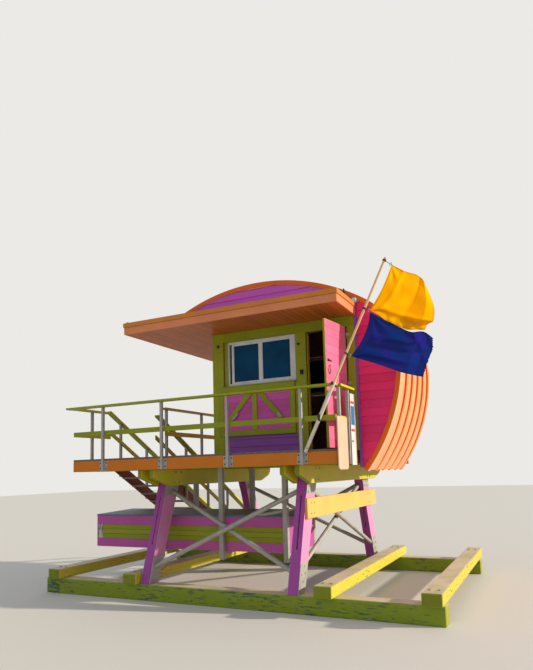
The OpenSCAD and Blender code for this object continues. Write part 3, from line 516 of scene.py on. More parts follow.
deck_wood = weathered_wood("bleached_deck_boards", "#9a8a76")
deck_z, board_z, deck_w, deck_d, walk_d, well_w = 2600, 2565, 5520, 5100, 1050, 1450
front_n, rear_n = 38, 28
front_p, rear_p, gap = deck_w / front_n, (deck_w - well_w) / rear_n, 4
deck_rows = [row_of(name, board(x0 + gap / 2, x0 + pitch - gap, y0, y1, board_z, deck_z), n,
                    (pitch, 0, 0), deck_wood, (0, 0, 0.8), seed=seed)
             for name, x0, pitch, n, y0, y1, seed in (
                 ("front_boards", 0, front_p, front_n, 0, walk_d - 2, 60),
                 ("rear_boards", well_w, rear_p, rear_n, walk_d + 2, deck_d, 61))]
fitted("deck_boards", merged("deck_boards", deck_rows), deck_wood, ["deck_floor"])
spots = []
for x0, pitch, n, ys in ((0, front_p, front_n, (22, 444, 865, 1028)),
                         (well_w, rear_p, rear_n, (1286, 3812, 4235, 4656, 5078))):
    spots += [((x0 + (k + share) * pitch, y, deck_z + 0.4), (0, 0, 1))
              for k in range(n) for share in (0.22, 0.76) for y in ys]
bolts("deck_screws", spots, (4, 0.6), (5, 0.5))

# The stair to the deck: two closed stringers with treads housed between them, stained
# red-brown, and square galvanised posts with green boards as handrails.
stair_paint = oil_paint("red_brown_stain", "#7a4029", chips=0.35)
tread_paint = oil_paint("worn_tread_stain", "#8d6f63", chips=0.5, dust=0.3)
from_cad("stair_stringer_boards", "stair_stringers", 4, 70, stair_paint)
risers, going, tread_t, tread_x, nosing = 14, 325, 38, (47, 1013), 40
rise = deck_z / risers
tread = board(*tread_x, walk_d + nosing, walk_d + going, deck_z - rise - tread_t, deck_z - rise)
treads = row_of("treads", tread, risers - 1, (0, going, -rise), tread_paint, (0.5, 0, 0), 4, 71)
fitted("stair_tread_boards", treads, tread_paint, ["stair_treads"])
shortest_rail = 1.0
from_cad("stair_handrails", "stair_rails", 3, 72, green_paint,
         lambda s: s.y > shortest_rail)
from_cad("stair_posts", "stair_rails", 2, 73, zinc,
         lambda s: s.y < shortest_rail)

# Railings: a flat green board on top and one below it, on square galvanised posts that are
# bolted to the rims through a plate with two bolts on each side.
widest_post = 0.4
for node, seed in (("front_rail", 80), ("side_rails", 83), ("rear_rails", 86)):
    from_cad(node + "_boards", node, 3, seed, green_paint,
             lambda s: max(s.x, s.y) > widest_post)
    from_cad(node + "_posts", node, 2, seed + 1, zinc,
             lambda s: max(s.x, s.y) <= widest_post)
first_post, post_pitch, plate_bolt, plate_y, plate_z = 777, 1385, 68, -8, (2412, 2517)
bolts("front_rail_bolts",
      [((first_post + k * post_pitch + s * plate_bolt, plate_y, z), (0, -1, 0))
       for k in range(4) for s in (-1, 1) for z in plate_z],
      (10, 8), (15, 3), galvanised("dark_bolt_zinc", "#4a4a48"))

# The storage locker under the deck: a long plywood box, framed by purple boards above and
# below three green ones, with a slate-coloured lid. It hangs from the joists on tubes.
locker_paint = oil_paint("purple_locker_paint", "#b6529c", chips=0.3)
lid_paint = oil_paint("slate_lid_paint", "#5c7383", chips=0.3, dust=0.35)
x0, x1, y0, y1, z0, z1 = -200, 4250, 910, 2083.75, 810, 1440
low_z, top_z, t, post_w = z0 + 170, z1 - 175, 15.7, 22
locker = [board(x0 + t, x1 - t, y0 + t + 0.3, y1 - t - 0.3, z0 + 2, z1)]
for ya, yb in ((y0, y0 + t), (y1 - t, y1)):
    locker += [board(xa, xb, ya, yb, za, zb) for xa, xb, za, zb in (
        (x0, x1, z0, low_z), (x0, x1, top_z, z1), (x0, x0 + post_w, low_z + 0.5, top_z - 0.5),
        (x1 - post_w, x1, low_z + 0.5, top_z - 0.5))]
locker += [board(x - 0.1, x + t, y0 + t + 0.5, y1 - t - 0.5, z0, z1) for x in (x0, x1 - t)]
built("locker_frame_boards", locker, 2, 90, locker_paint, ["locker_box"])
slat, peeled_end = (top_z - low_z) / 3, 148
slats = [row_of("locker_slats_" + str(k),
                board(x0 + start, x1 - post_w - 1, ya, yb, low_z + 2, low_z + slat - 3), 3,
                (0, 0, slat), green_paint, (2, 0, 0), 2, 91 + k)
         for k, (start, ya, yb) in enumerate(((peeled_end, y0 + 5, y0 + t),
                                              (post_w + 1, y1 - t, y1 - 5)))]
fitted("locker_slats", merged("locker_slats", slats), green_paint)
peeled = oil_paint("peeled_grey_board", "#5b5a56", chips=1.1, bare="#cfc8ba", rough=0.8)
built("locker_peeled_board", [board(x0 + post_w + 1, x0 + peeled_end - 2, y0 + 7, y0 + t,
                                    low_z + 1, top_z - 1)], 1, 93, peeled)
from_cad("locker_lid_board", "locker_lid", 4, 94, lid_paint)
from_cad("locker_hanger_tubes", "locker_hangers", 3, 95, zinc)

# The long board bolted across the right legs, amber and bare.
amber_paint = oil_paint("amber_board_paint", "#f0ad58", chips=0.3)
from_cad("amber_board", "sign_board", 5, 97, amber_paint)
amber_face = 4805
bolts("amber_board_bolts", [((amber_face, y, z), (1, 0, 0)) for y in (620, 760, 4020, 4180)
                            for z in (1540, 1720)], (11, 8), (19, 3))

# The cabin's floor and walls, lined with plywood sheets on studs. The inside stays bare;
# its plywood is coloured dark brown as painted shade for the dim room.
plywood = weathered_wood("plywood_lining_painted_dark", "#7d6549", 0.7)
for node in ("cabin_floor", "window_wall", "corner_wall", "front_gable", "left_wall",
             "rear_wall"):
    from_cad(node + "_sheets", node, 0, 100, plywood)

# Lap siding: horizontal boards 146 mm to the course, thick at the lower edge, nailed over
# each other from the bottom up and cut to the line of the arch. Violet under the window,
# magenta on the gable and the left, crimson beside the corner and at the rear. An arc of
# the shell is given by the X and Z of its middle and its outer radius.
course, lap_low, lap_high, edge_in = 146, 22, 7, 53
arch, shoulder, flank = (3619.7, 1990, 3895), (5090.3, 4194.7, 1245), (3170.3, 4194.7, 3165)
shoulder_a, skirt_a = 33.7, 127.9
soffit, roof_z, wall_top, gable_low = 5000, 5220, 5807, 2302
front_y, rear_y, cabin_x, corner_x, door_x, door_end = 1070, 3570, 2660, 5570, 4630, 5430
wx0, wx1, wz0, wz1, over, shutter_low = 2880, 4430, 3940, 4830, 90, 2960
left_start, left_end, shutter_high = front_y + over, rear_y - over, wz0 - 20


def on_arc(arc, z, side=1):
    """X of the right or left side of an arc at height z, under the arch's edge boards"""
    return arc[0] + side * math.sqrt(max(0, (arc[2] - edge_in) ** 2 - (z - arc[1]) ** 2))


def shell_right(z):
    """X of the right-hand edge of the wall at height z"""
    if z < shoulder[1]:
        return on_arc(flank, z)
    start = arch[1] + (arch[2] - edge_in) * math.cos(math.radians(shoulder_a))
    return on_arc(shoulder if z < start else arch, z)


def shell_left(z):
    """X of the left-hand edge of the wall under the roof arch"""
    return on_arc(arch, z, -1)


def edge_x(edge, z):
    """X of an edge that is upright, or that changes with the height"""
    return edge(z) if callable(edge) else edge


def on_wall(wall, s, out, z):
    """A point on a wall of the cabin, s along it and out from its face"""
    return {"front": at(s, front_y - out, z), "rear": at(s, rear_y + out, z),
            "left": at(cabin_x - out, s, z)}[wall]


def siding(wall, left, right, z0, z1, openings=()):
    """Lapped courses on a wall between two edges; openings are (s0, s1, z0, z1) left free
    of boards"""
    solids = []
    levels = [z0 + k * course for k in range(math.ceil((z1 - z0) / course))] + [z1]
    for low, high in zip(levels, levels[1:]):
        cuts = sorted({low, high} | {z for o in openings for z in o[2:] if low < z < high})
        for za, zb in zip(cuts, cuts[1:]):
            runs = [(left, right)]
            for s0, s1, low_z, top_z in openings:
                if low_z < (za + zb) / 2 < top_z:
                    runs = [(left, s0), (s1, right)]
            for start, end in runs:
                zs = [za + (zb - za) * k / 4 for k in range(5)]
                zs = [z for z in zs if edge_x(end, z) - edge_x(start, z) > 8]
                if len(zs) < 2:
                    continue
                ring = [(edge_x(start, z), z) for z in zs]
                ring += [(edge_x(end, z), z) for z in reversed(zs)]
                points = [on_wall(wall, s, 0.2, z) for s, z in ring]
                slant = lap_high - lap_low
                points += [on_wall(wall, s, lap_low + slant * (z - low) / (high - low), z)
                           for s, z in ring]
                solids.append((points, closed(len(ring))))
    return solids


violet_paint = oil_paint("violet_siding_paint", "#84479a", chips=0.12, rough=0.42)
magenta_paint = oil_paint("magenta_siding_paint", "#c052b0", chips=0.12, rough=0.42)
crimson_paint = oil_paint("crimson_siding_paint", "#dc2566", chips=0.12, rough=0.4)
rear_opening = (wx0 - over, wx1 + over, wz0 - over, wz1 + over)
for k, (name, paint, slot, runs) in enumerate((
        ("front", violet_paint, "purple_paint",
         [("front", wx0 - 8, wx1 - 2, deck_z + 4, shutter_low - 5)]),
        ("gable", magenta_paint, "purple_paint",
         [("front", shell_left, shell_right, roof_z + 2, wall_top)]),
        ("corner", crimson_paint, "crimson_paint",
         [("front", corner_x + 52, shell_right, gable_low, roof_z)]),
        ("left", magenta_paint, "purple_paint",
         [("left", left_start + 2, left_end - 2, deck_z + 4, soffit - 2)]),
        ("rear", crimson_paint, "crimson_paint",
         [("rear", cabin_x + 102, shell_right, deck_z + 4, roof_z, [rear_opening]),
          ("rear", shell_left, shell_right, roof_z + 2, wall_top),
          ("rear", corner_x + 20, shell_right, gable_low, deck_z + 2)]))):
    built(name + "_siding", [lap for run in runs for lap in siding(*run)], 0, 110 + k, paint)

# Trim boards planted on the walls: corner boards, a head board under the porch ceiling, the
# post between window and doorway, the window's sill and the linings of its opening. Sawn
# softwood in green, with one narrow violet strip that closes the crimson courses.
y0, y1, lining = front_y - 25, front_y - 0.3, front_y + 98
ya, yb, side = rear_y + 0.3, rear_y + 24, cabin_x - 26
trims = [board(*sides) for sides in (
    # front: left corner, head, post beside the doorway, right corner, over the doorway
    (cabin_x, wx0 - 10, y0, y1, deck_z, soffit), (wx0 - 9.5, corner_x, y0, y1, wz1 + 0.5, soffit),
    (wx1 + 0.5, door_x, y0, y1, deck_z, wz1), (door_end, corner_x, y0, y1, deck_z, wz1),
    (door_x + 0.5, door_end - 0.5, y0, y1, wz1 - 19, wz1),
    # the strip over the shutter and the window's sill
    (wx0 - 9.5, wx1, y0, y1, wz0 - 8, wz0 + 2),
    (wx0 - 20, wx1 + 10, front_y - 52, front_y + 30, wz0 - 19, wz0 - 2),
    # left wall's corners
    (side, cabin_x - 0.3, y0, left_start, deck_z, soffit - 1),
    (side, cabin_x - 0.3, left_end, rear_y + 25, deck_z, soffit - 1),
    # window: left, right, the post under its right end, head, lower lining
    (wx0, wx0 + 77, front_y + 20, lining, wz0 + 8.5, wz1 - 11),
    (wx1 - 10, wx1, y0 + 4, lining, wz0, wz1 - 1),
    (wx1 - 39, wx1, front_y - 12, y1, shutter_low - 4, shutter_high),
    (wx0, wx1, y0 + 4, lining, wz1 - 10, wz1 - 0.5),
    (wx0, wx1, front_y + 31, lining, wz0, wz0 + 8),
    # door stops and a small board at the left corner
    (door_x + 0.5, door_x + 25, front_y + 26, lining, deck_z + 26, wz1 - 30),
    (door_end - 25, door_end - 1, front_y + 26, lining, deck_z + 26, wz1 - 30),
    (cabin_x + 48, wx0 - 11, front_y - 38, y0 - 0.5, 4640, 4812),
    # rear: left corner, and left, right, above and below the window
    (cabin_x, cabin_x + 100, ya, rear_y + 25, deck_z, roof_z - 1),
    (wx0 - over, wx0 - 1, ya, yb, wz0 - over, wz1 + over),
    (wx1 + 1, wx1 + over, ya, yb, wz0 - over, wz1 + over),
    (wx0 - 0.5, wx1 + 0.5, ya, yb, wz1 + 1, wz1 + over),
    (wx0 - 0.5, wx1 + 0.5, ya, rear_y + 30, wz0 - over, wz0 - 1))]
built("trim_boards", trims, 3, 120, green_paint, ["front_trim"])
built("corner_strip", [board(corner_x + 0.5, corner_x + 50, y0 - 5, y1, gable_low, roof_z - 1)],
      3, 121, violet_paint)

# The window shutter, folded down under the sill: a green frame with an upright and two
# braces over magenta lap boards, and two galvanised prop arms.
x0, x1, z0, z1, b, upright_w = 2770, wx1 - 40, shutter_low, shutter_high, 100, 90
mid = (x0 + x1) / 2 - 30
ya, yb, low, high = front_y - 45, front_y - 20, z0 + b + 1, z1 - b - 1
frame_boards = [board(xa, xb, ya, yb, za, zb) for xa, xb, za, zb in (
    (x0, x1, z1 - b, z1), (x0, x1, z0, z0 + b), (x0, x0 + b, low, high), (x1 - b, x1, low, high),
    (mid - upright_w / 2, mid + upright_w / 2, low, high))]
for s in (-1, 1):
    frame_boards.append(prism([(mid + s * 50, z1 - 1.6 * b), (mid + s * 50, high),
                               (mid + s * b * 1.3, high), (mid + s * 6.1 * b, z0 + 3.1 * b),
                               (mid + s * 5.3 * b, z0 + 2.6 * b)], ya + 2, yb - 1, "xz"))
built("shutter_frame", frame_boards, 3, 130, green_paint, ["window_shutter"])
shutter_paint = oil_paint("shutter_magenta_paint", "#c04f9c", chips=0.12, rough=0.42)


def laps(x0, x1, z0, z1, pitch, low_y, high_y, back_y, gaps=(0, 0)):
    """Lap boards from z0 to z1, with the Y of their lower edge, their upper edge and their
    back, and the gaps at those edges"""
    solids = []
    for k in range(math.ceil((z1 - z0) / pitch)):
        low, high = z0 + k * pitch + gaps[0], min(z0 + (k + 1) * pitch, z1) - gaps[1]
        solids.append(prism([(low_y, low), (high_y, high), (back_y, high), (back_y, low)],
                            x0, x1, "yz"))
    return solids


built("shutter_boards", laps(x0 + 20, x1 - 20, z0 + 96, z0 + 866, 110, yb + 2, yb + 8,
                             front_y - 0.5), 1, 131, shutter_paint)
arms = []
for (xa, za), (xb, zb) in (((3075, 3282), (3187, 3384)), ((4026, 3361), (4100, 3274))):
    nx, nz = Vector((zb - za, xa - xb)).normalized() * 19
    arms.append(prism([(xa - nx, za - nz), (xa + nx, za + nz), (xb + nx, zb + nz),
                       (xb - nx, zb - nz)], ya - 5, ya + 1.5, "xz"))
built("shutter_arms", arms, 1, 132, zinc)

# The windows in the front and rear walls: white vinyl sliders, an outer frame with two
# sashes that overlap at the meeting stile, and glass whose dark blue is painted reflection of sky
# and sea over painted shade of the room behind.


def clouded(name, scale, detail, low, high, rough, ior, specular=0.5):
    """A smooth surface whose shade drifts in clouds from one colour to another, and for a
    pair of values its roughness too"""
    material, tree = blank(name)
    place = add(tree, "ShaderNodeTexCoord").outputs["Object"]
    cloud = add(tree, "ShaderNodeTexNoise", {"Vector": place, "Scale": scale, "Detail": detail})
    tint = add(tree, "ShaderNodeMix", {0: cloud, 6: linear(low), 7: linear(high)},
               data_type="RGBA")
    if isinstance(rough, tuple):
        rough = add(tree, "ShaderNodeMapRange", {0: cloud, 3: rough[0], 4: rough[1]})
    shader = add(tree, "ShaderNodeBsdfPrincipled", {
        "Base Color": tint, "Roughness": rough, "IOR": ior, "Specular IOR Level": specular})
    add(tree, "ShaderNodeOutputMaterial", {0: shader})
    return material


white_vinyl = clouded("white_vinyl", 6.0, 4.0, "#b9bdbc", "#eef0ee", 0.38, 1.53)
# the glass's dark blue is painted reflection and painted shade, with little shine of its own
glass_painted_dark_blue = clouded("glass_painted_dark_blue", 3.0, 3.0, "#02304e", "#08507c", (0.03, 0.16), 1.52, 0.08)


def sash(xa, xb, za, zb, layer, w, left, right):
    """Four bars round a rectangle, in a layer from one Y to another, w wide above and below"""
    return [board(a, b, *layer, c, d) for a, b, c, d in (
        (xa, xb, za, za + w), (xa, xb, zb - w, zb), (xa, xa + left, za + w, zb - w),
        (xb - right, xb, za + w, zb - w))]


frames, panes = [], []
meet_0, meet_1 = 3623, 3711
for face, inward in ((front_y + 35, 1), (rear_y - 35, -1)):
    outer, back, near, back_pane, near_pane = (
        sorted((face + inward * a, face + inward * b))
        for a, b in ((0, 60), (30, 52), (6, 28), (38, 44), (14, 20)))
    frames += sash(wx0 + 78, wx1 - 12, wz0 + 9, wz1 - 12, outer, 42, 24, 42)
    frames += sash(wx0 + 139, meet_0 + 50, wz0 + 48, wz1 - 50, back, 38, 52, 50)
    frames += sash(meet_0, wx1 - 50, wz0 + 48, wz1 - 50, near, 38, 88, 94)
    # the back pane reaches left past its sash into the outer frame's track, where its dark glass is
    # painted shade in the recess
    panes += [board(wx0 + 100, meet_0 + 20, *back_pane, wz0 + 50, wz1 - 52),
              board(meet_1 - 10, wx1 - 140, *near_pane, wz0 + 80, wz1 - 80)]
built("window_frame_bars", frames, 2, 140, white_vinyl, ["window_frames"])
built("window_panes", panes, 0, 141, glass_painted_dark_blue, ["window_glass"])

# The cabin door, standing open: a green core clad on both sides with pink lap boards. It
# turns on three galvanised hinges.
door_paint = oil_paint("pink_door_paint", "#e8698f", chips=0.15, rough=0.4)
hinge, open_angle = at(door_end - 2, front_y - 38, 0), math.radians(82)
swing = Matrix.Translation(hinge) @ Matrix.Rotation(open_angle, 4, "Z") @ Matrix.Translation(-hinge)
x0, x1, z0, z1 = door_x + 8, door_end - 8, deck_z + 30, wz1 - 28
ya, yb = front_y - 20, front_y + 15
built("door_core", [board(x0, x1, ya, yb, z0, z1)], 2, 150, green_paint,
      ["cabin_door"], "door", swing)
sides = [laps(x0 + 8, x1 - 8, z0 + 3, z1 - 3, 145, *ys, (1, 2))
         for ys in ((ya - 4.8, ya - 2.5, ya), (yb + 5, yb + 2.5, yb))]
built("door_boards", [lap for pair in zip(*sides) for lap in pair], 0, 150, door_paint,
      (), "door", swing)
from_cad("hinge_leaves", "door_hinges", 0, 152, zinc)

# The curved shell: bent sheets on the arch, painted peach, which stay as the model has them.
peach_paint = oil_paint("peach_shell_paint", "#ea9c71", chips=0.1, rough=0.45)
for node in ("roof_shell", "shoulder_shell", "side_shell"):
    from_cad(node + "_sheet", node, 0, 160, peach_paint)

# Ribs and edge boards that run over the shell from the porch roof to the skirt: laminated
# orange battens, bent along the three arcs of the arch.


def swept(tree, curve, section):
    """A section swept along a curve, with UV in metres along it and round it"""
    length = add(tree, "GeometryNodeSplineParameter").outputs["Length"]
    kept = []
    for shape in (curve, section):
        kept.append(add(tree, "GeometryNodeCaptureAttribute", {0: shape}, domain="POINT"))
        kept[-1].capture_items.new("FLOAT", "length")
        tree.links.new(length, kept[-1].inputs[1])
    skin = add(tree, "GeometryNodeCurveToMesh", {0: kept[0], 1: kept[1], "Fill Caps": True})
    uv = add(tree, "ShaderNodeCombineXYZ", {0: kept[0].outputs[1], 1: kept[1].outputs[1]})
    return add(tree, "GeometryNodeStoreNamedAttribute", {0: skin, "Name": "grain", "Value": uv},
               data_type="FLOAT2", domain="CORNER")


tree, given = fresh_tree("Battens along the arch", Float=["Width", "Height", "Ease"],
                         Int=["Count", "Seed"], Vector=["Start", "Step"])
curve = add(tree, "GeometryNodeMeshToCurve", {0: given["Geometry"]})
curve = add(tree, "GeometryNodeSetCurveNormal", {0: curve, "Normal": (0, 1, 0)}, mode="FREE")
section = add(tree, "GeometryNodeCurvePrimitiveQuadrilateral",
              {"Width": given["Width"], "Height": given["Height"]})
section = add(tree, "GeometryNodeFilletCurve", {0: section, "Radius": given["Ease"]}, mode="POLY")
line = add(tree, "GeometryNodeMeshLine", {
    "Count": given["Count"], "Start Location": given["Start"], "Offset": given["Step"]},
    mode="OFFSET")
path_tree = end_tree(tree, given, toned_row(tree, given, line, swept(tree, curve, section)))


def arch_path(off):
    """Points in X and Z along the arch, that many millimetres outside the shell"""
    points = []
    start = -math.degrees(math.acos((roof_z - arch[1]) / (arch[2] + off)))
    for (x, z, r), a0, a1, n in ((arch, start, shoulder_a, 60), (shoulder, shoulder_a, 90, 24),
                                 (flank, 90, skirt_a, 40)):
        for a in [math.radians(a0 + (a1 - a0) * k / n) for k in range(n + 1)]:
            points.append((x + (r + off) * math.sin(a), z + (r + off) * math.cos(a)))
    return [p for k, p in enumerate(points) if k == 0 or math.dist(p, points[k - 1]) > 1]


def battens(name, off, width, height, y, count, pitch, material, seed, replaces=()):
    """Battens of one section side by side along the arch"""
    path = arch_path(off)
    host = drawn(name, [at(x, 0, z) for x, z in path], [(k, k + 1) for k in range(len(path) - 1)])
    mesh = grown(name, host, path_tree, {
        "Width": width, "Height": height, "Ease": 4, "Start": (0, y + width / 2, 0),
        "Step": (0, pitch, 0)}, Count=count, Seed=seed, Material=material)
    fitted(name, mesh, material, replaces)


# The ribs' front and rear sides take a darker orange, painted shade. The edge boards and the front
# batten are orange paint shown peach on their outer faces as painted sunlight, with the same darker
# orange on their front and rear sides as painted shade.
orange_paint = oil_paint("orange_batten_paint", "#e98a3c", chips=0.12, sides="#df6410")
lit_edge_batten = oil_paint("edge_batten_paint_painted_light_and_shade", "#eba878", chips=0.12, sides="#df6410")
rib_w, rib_t = 120, 35
rib_pitch = (rear_y - front_y - rib_w) / 5
battens("rib_battens", rib_t / 2, rib_w, rib_t, front_y + rib_pitch, 5, rib_pitch, orange_paint,
        170, ["shell_ribs"])
battens("front_batten", rib_t / 2, rib_w, rib_t, front_y, 1, rib_pitch, lit_edge_batten, 172)
battens("arch_edge_boards", -7.5, 24.5, 85, front_y - 25, 2, rear_y - front_y + 25, lit_edge_batten,
        171, ["arch_trims"])

# The flat porch roof: a boarded ceiling, two fascia boards one above the other, and felt on
# top. It covers the walkway and runs back beside the cabin.
fascia_low = oil_paint("fascia_paint", "#cf7f52", chips=0.15)
fascia_high = oil_paint("fascia_top_paint", "#c07628", chips=0.15)
ceiling_paint = oil_paint("ceiling_paint", "#b86424", chips=0.1)
felt, tree = blank("mineral_roof_felt")
place = add(tree, "ShaderNodeTexCoord").outputs["Object"]
grit = add(tree, "ShaderNodeTexNoise", {"Vector": place, "Scale": 160.0, "Detail": 2.0})
stain = add(tree, "ShaderNodeTexNoise", {"Vector": place, "Scale": 1.6, "Detail": 4.0})
blend = add(tree, "ShaderNodeMath", {0: grit, 1: 0.4, 2: stain}, operation="MULTIPLY_ADD")
tint = add(tree, "ShaderNodeMix", {0: blend, 6: linear("#8f8a80"), 7: linear("#cfcabf")},
           data_type="RGBA")
bump = add(tree, "ShaderNodeBump", {"Height": grit, "Strength": 0.5, "Distance": 0.002})
shader = add(tree, "ShaderNodeBsdfPrincipled", {"Base Color": tint, "Roughness": 0.9,
                                                "Normal": bump})
add(tree, "ShaderNodeOutputMaterial", {0: shader})

px0, px1, py0, py_mid, t = 1230, 5600, 50, front_y - 25, 30
split = roof_z - 85
for name, za, zb, out, seed, paint, replaces in (
        ("fascia_lower_boards", soffit - 4, split - 3, 0, 180, fascia_low, ["porch_roof"]),
        ("fascia_upper_boards", split, roof_z, 14, 181, fascia_high, [])):
    low, inner = t - out, t - out + 0.5
    built(name, [board(xa, xb, ya, yb, za, zb) for xa, xb, ya, yb in (
        (px0 - out, px1 + out, py0 - out, py0 + low),
        (px0 - out, px0 + low, py0 + inner, rear_y + out),
        (px1 - low, px1 + out, py0 + inner, py_mid - 2),
        (px0 + inner, cabin_x - 2, rear_y - low, rear_y + out))],
        3, seed, paint, replaces)
pitch, lining_t, gap = 115, 16, 5
x0, x1, y0, y1 = px0 + t + 1, px1 - t - 1, py0 + t + 1, rear_y - t - 1
wing_n = math.floor((cabin_x - px0 - 60) / pitch)
turn_x = x0 + wing_n * pitch
front_n = math.floor((x1 - turn_x) / pitch)
ceiling = [row_of(name, board(x, x + pitch - gap, y0, end, soffit, soffit + lining_t), n,
                  (pitch, 0, 0), ceiling_paint, (0, 0, 0.4), seed=seed)
           for name, x, end, n, seed in (("ceiling_wing", x0, y1, wing_n, 182),
                                         ("ceiling_front", turn_x, py_mid - 1, front_n, 183))]
ceiling.append(joined("ceiling_ends", [
    board(turn_x, cabin_x - 30, py_mid, y1, soffit, soffit + lining_t),
    board(turn_x + front_n * pitch, x1, y0, py_mid - 1, soffit, soffit + lining_t)], 3, 184))
fitted("ceiling_boards", merged("ceiling_boards", ceiling), ceiling_paint)
built("roof_felt", [board(x0, xb, ya, yb, soffit + lining_t + 2, roof_z - 6) for xb, ya, yb in (
    (x1, y0, py_mid - 2), (cabin_x - 2, py_mid - 1, y1))], 0, 184, felt)

# The flagpole: a wooden pole in a white plastic tube, which leans against the top rail and is
# tied to both rails with rope. The wood ends a little below the top of its solid.
pole_wood = weathered_wood("varnished_pole_wood", "#d9b98a", 0.45)
tube_white = clouded("white_plastic_tube", 14.0, 5.0, "#b7a996", "#f4ece0", 0.45, 1.5)
pole_lean, pole_y, rail_y, rail_rise = math.radians(27.8), -38.6, -125.6, 1037
pole_out = math.atan((pole_y - rail_y) / rail_rise * math.cos(pole_lean))
pole_foot = at(5000, pole_y, board_z)
across_pole = Vector((math.cos(pole_lean), 0, -math.sin(pole_lean)))
along_pole = Vector((math.cos(pole_out) * math.sin(pole_lean), -math.sin(pole_out),
                     math.cos(pole_out) * math.cos(pole_lean)))
off_pole = along_pole.cross(across_pole)


def by_pole(u, v, w=0.0):
    """A point across, along and off the pole, in millimetres"""
    return pole_foot + (across_pole * u + along_pole * v + off_pole * w) / 1000


tube, wood = sorted(cad_solids("flagpole"), key=lambda s: max(p.z for p in s[0]))
built("flagpole_tube", [tube], 0, 190, tube_white, ["flagpole"])
mesh = joined("flagpole_wood", [wood], 0, 190)
cut_off, end_zone = 0.07, 0.2
top = max(v.co.dot(along_pole) for v in mesh.vertices)
for v in mesh.vertices:
    if v.co.dot(along_pole) > top - end_zone:
        v.co -= along_pole * cut_off
fitted("flagpole_wood", mesh, pole_wood, ["flagpole"])

# The two flags: light nylon cloth, clipped to the pole at their hoist corners and blown
# towards the sea side, with a hem all round.


def smooth_line(points, t):
    """A point at share t of a smooth line through points"""
    points = np.array(points, float)
    steps = np.r_[0, np.cumsum(np.linalg.norm(np.diff(points, axis=0), axis=1))]
    steps /= steps[-1]
    slopes = np.gradient(points, steps, axis=0)
    k = min(np.searchsorted(steps, t, side="right") - 1, len(points) - 2)
    h = steps[k + 1] - steps[k]
    x = (t - steps[k]) / h
    return ((2 * x ** 3 - 3 * x ** 2 + 1) * points[k] + (x ** 3 - 2 * x ** 2 + x) * h * slopes[k]
            + (3 * x ** 2 - 2 * x ** 3) * points[k + 1] + (x ** 3 - x ** 2) * h * slopes[k + 1])


def nylon(name, code, other, glow):
    """Flag nylon: a fine plain weave, thin enough to let some light through, with a faint
    sheen and a doubled hem, faded unevenly from one shade to another; the weave is drawn
    at 3 mm so that it shows"""
    material, tree = blank(name)
    uv = add(tree, "ShaderNodeUVMap", uv_map="grain")
    hem = add(tree, "ShaderNodeAttribute", attribute_name="hem").outputs["Fac"]
    weave, weft = (add(tree, "ShaderNodeTexWave", {"Vector": uv, "Scale": 320.0},
                       wave_type="BANDS", bands_direction=way).outputs["Fac"] for way in "XY")
    threads = add(tree, "ShaderNodeMath", {0: weave, 1: weft}, operation="ADD")
    fade = add(tree, "ShaderNodeTexNoise", {"Vector": uv, "Scale": 2.2, "Detail": 3.0})
    uneven = add(tree, "ShaderNodeMapRange", {0: fade, 1: 0.35, 2: 0.65})
    tint = add(tree, "ShaderNodeMix", {0: uneven, 6: linear(code), 7: linear(other)},
               data_type="RGBA")
    double = add(tree, "ShaderNodeMapRange", {0: hem, 3: 1.0, 4: 0.72})
    tint = add(tree, "ShaderNodeVectorMath", {0: tint, "Scale": double}, operation="SCALE")
    bump = add(tree, "ShaderNodeBump", {"Height": threads, "Strength": 0.15, "Distance": 0.0006})
    shader = add(tree, "ShaderNodeBsdfPrincipled", {
        "Base Color": tint, "Roughness": 0.6, "Specular IOR Level": 0.25, "Sheen Weight": 0.12,
        "Normal": bump})
    through = add(tree, "ShaderNodeBsdfTranslucent", {"Color": tint, "Normal": bump})
    both = add(tree, "ShaderNodeMixShader", {0: glow, 1: shader, 2: through})
    add(tree, "ShaderNodeOutputMaterial", {0: both})
    return material


def creases(s, t, corner, count, size, reach, turn):
    """Tension creases that fan out from a corner of the cloth"""
    ds, dt = abs(s - corner[0]), abs(t - corner[1]) * 0.7
    away = math.hypot(ds, dt)
    return (size * min(1, away * 9) * math.exp(-away / reach)
            * math.cos(count * math.atan2(dt, ds) + turn + 3 * away))


def ridge(x, middle, half_width):
    """A rounded fold across a line, one at its middle and nothing beyond"""
    return math.exp(-((x - middle) / half_width) ** 2)


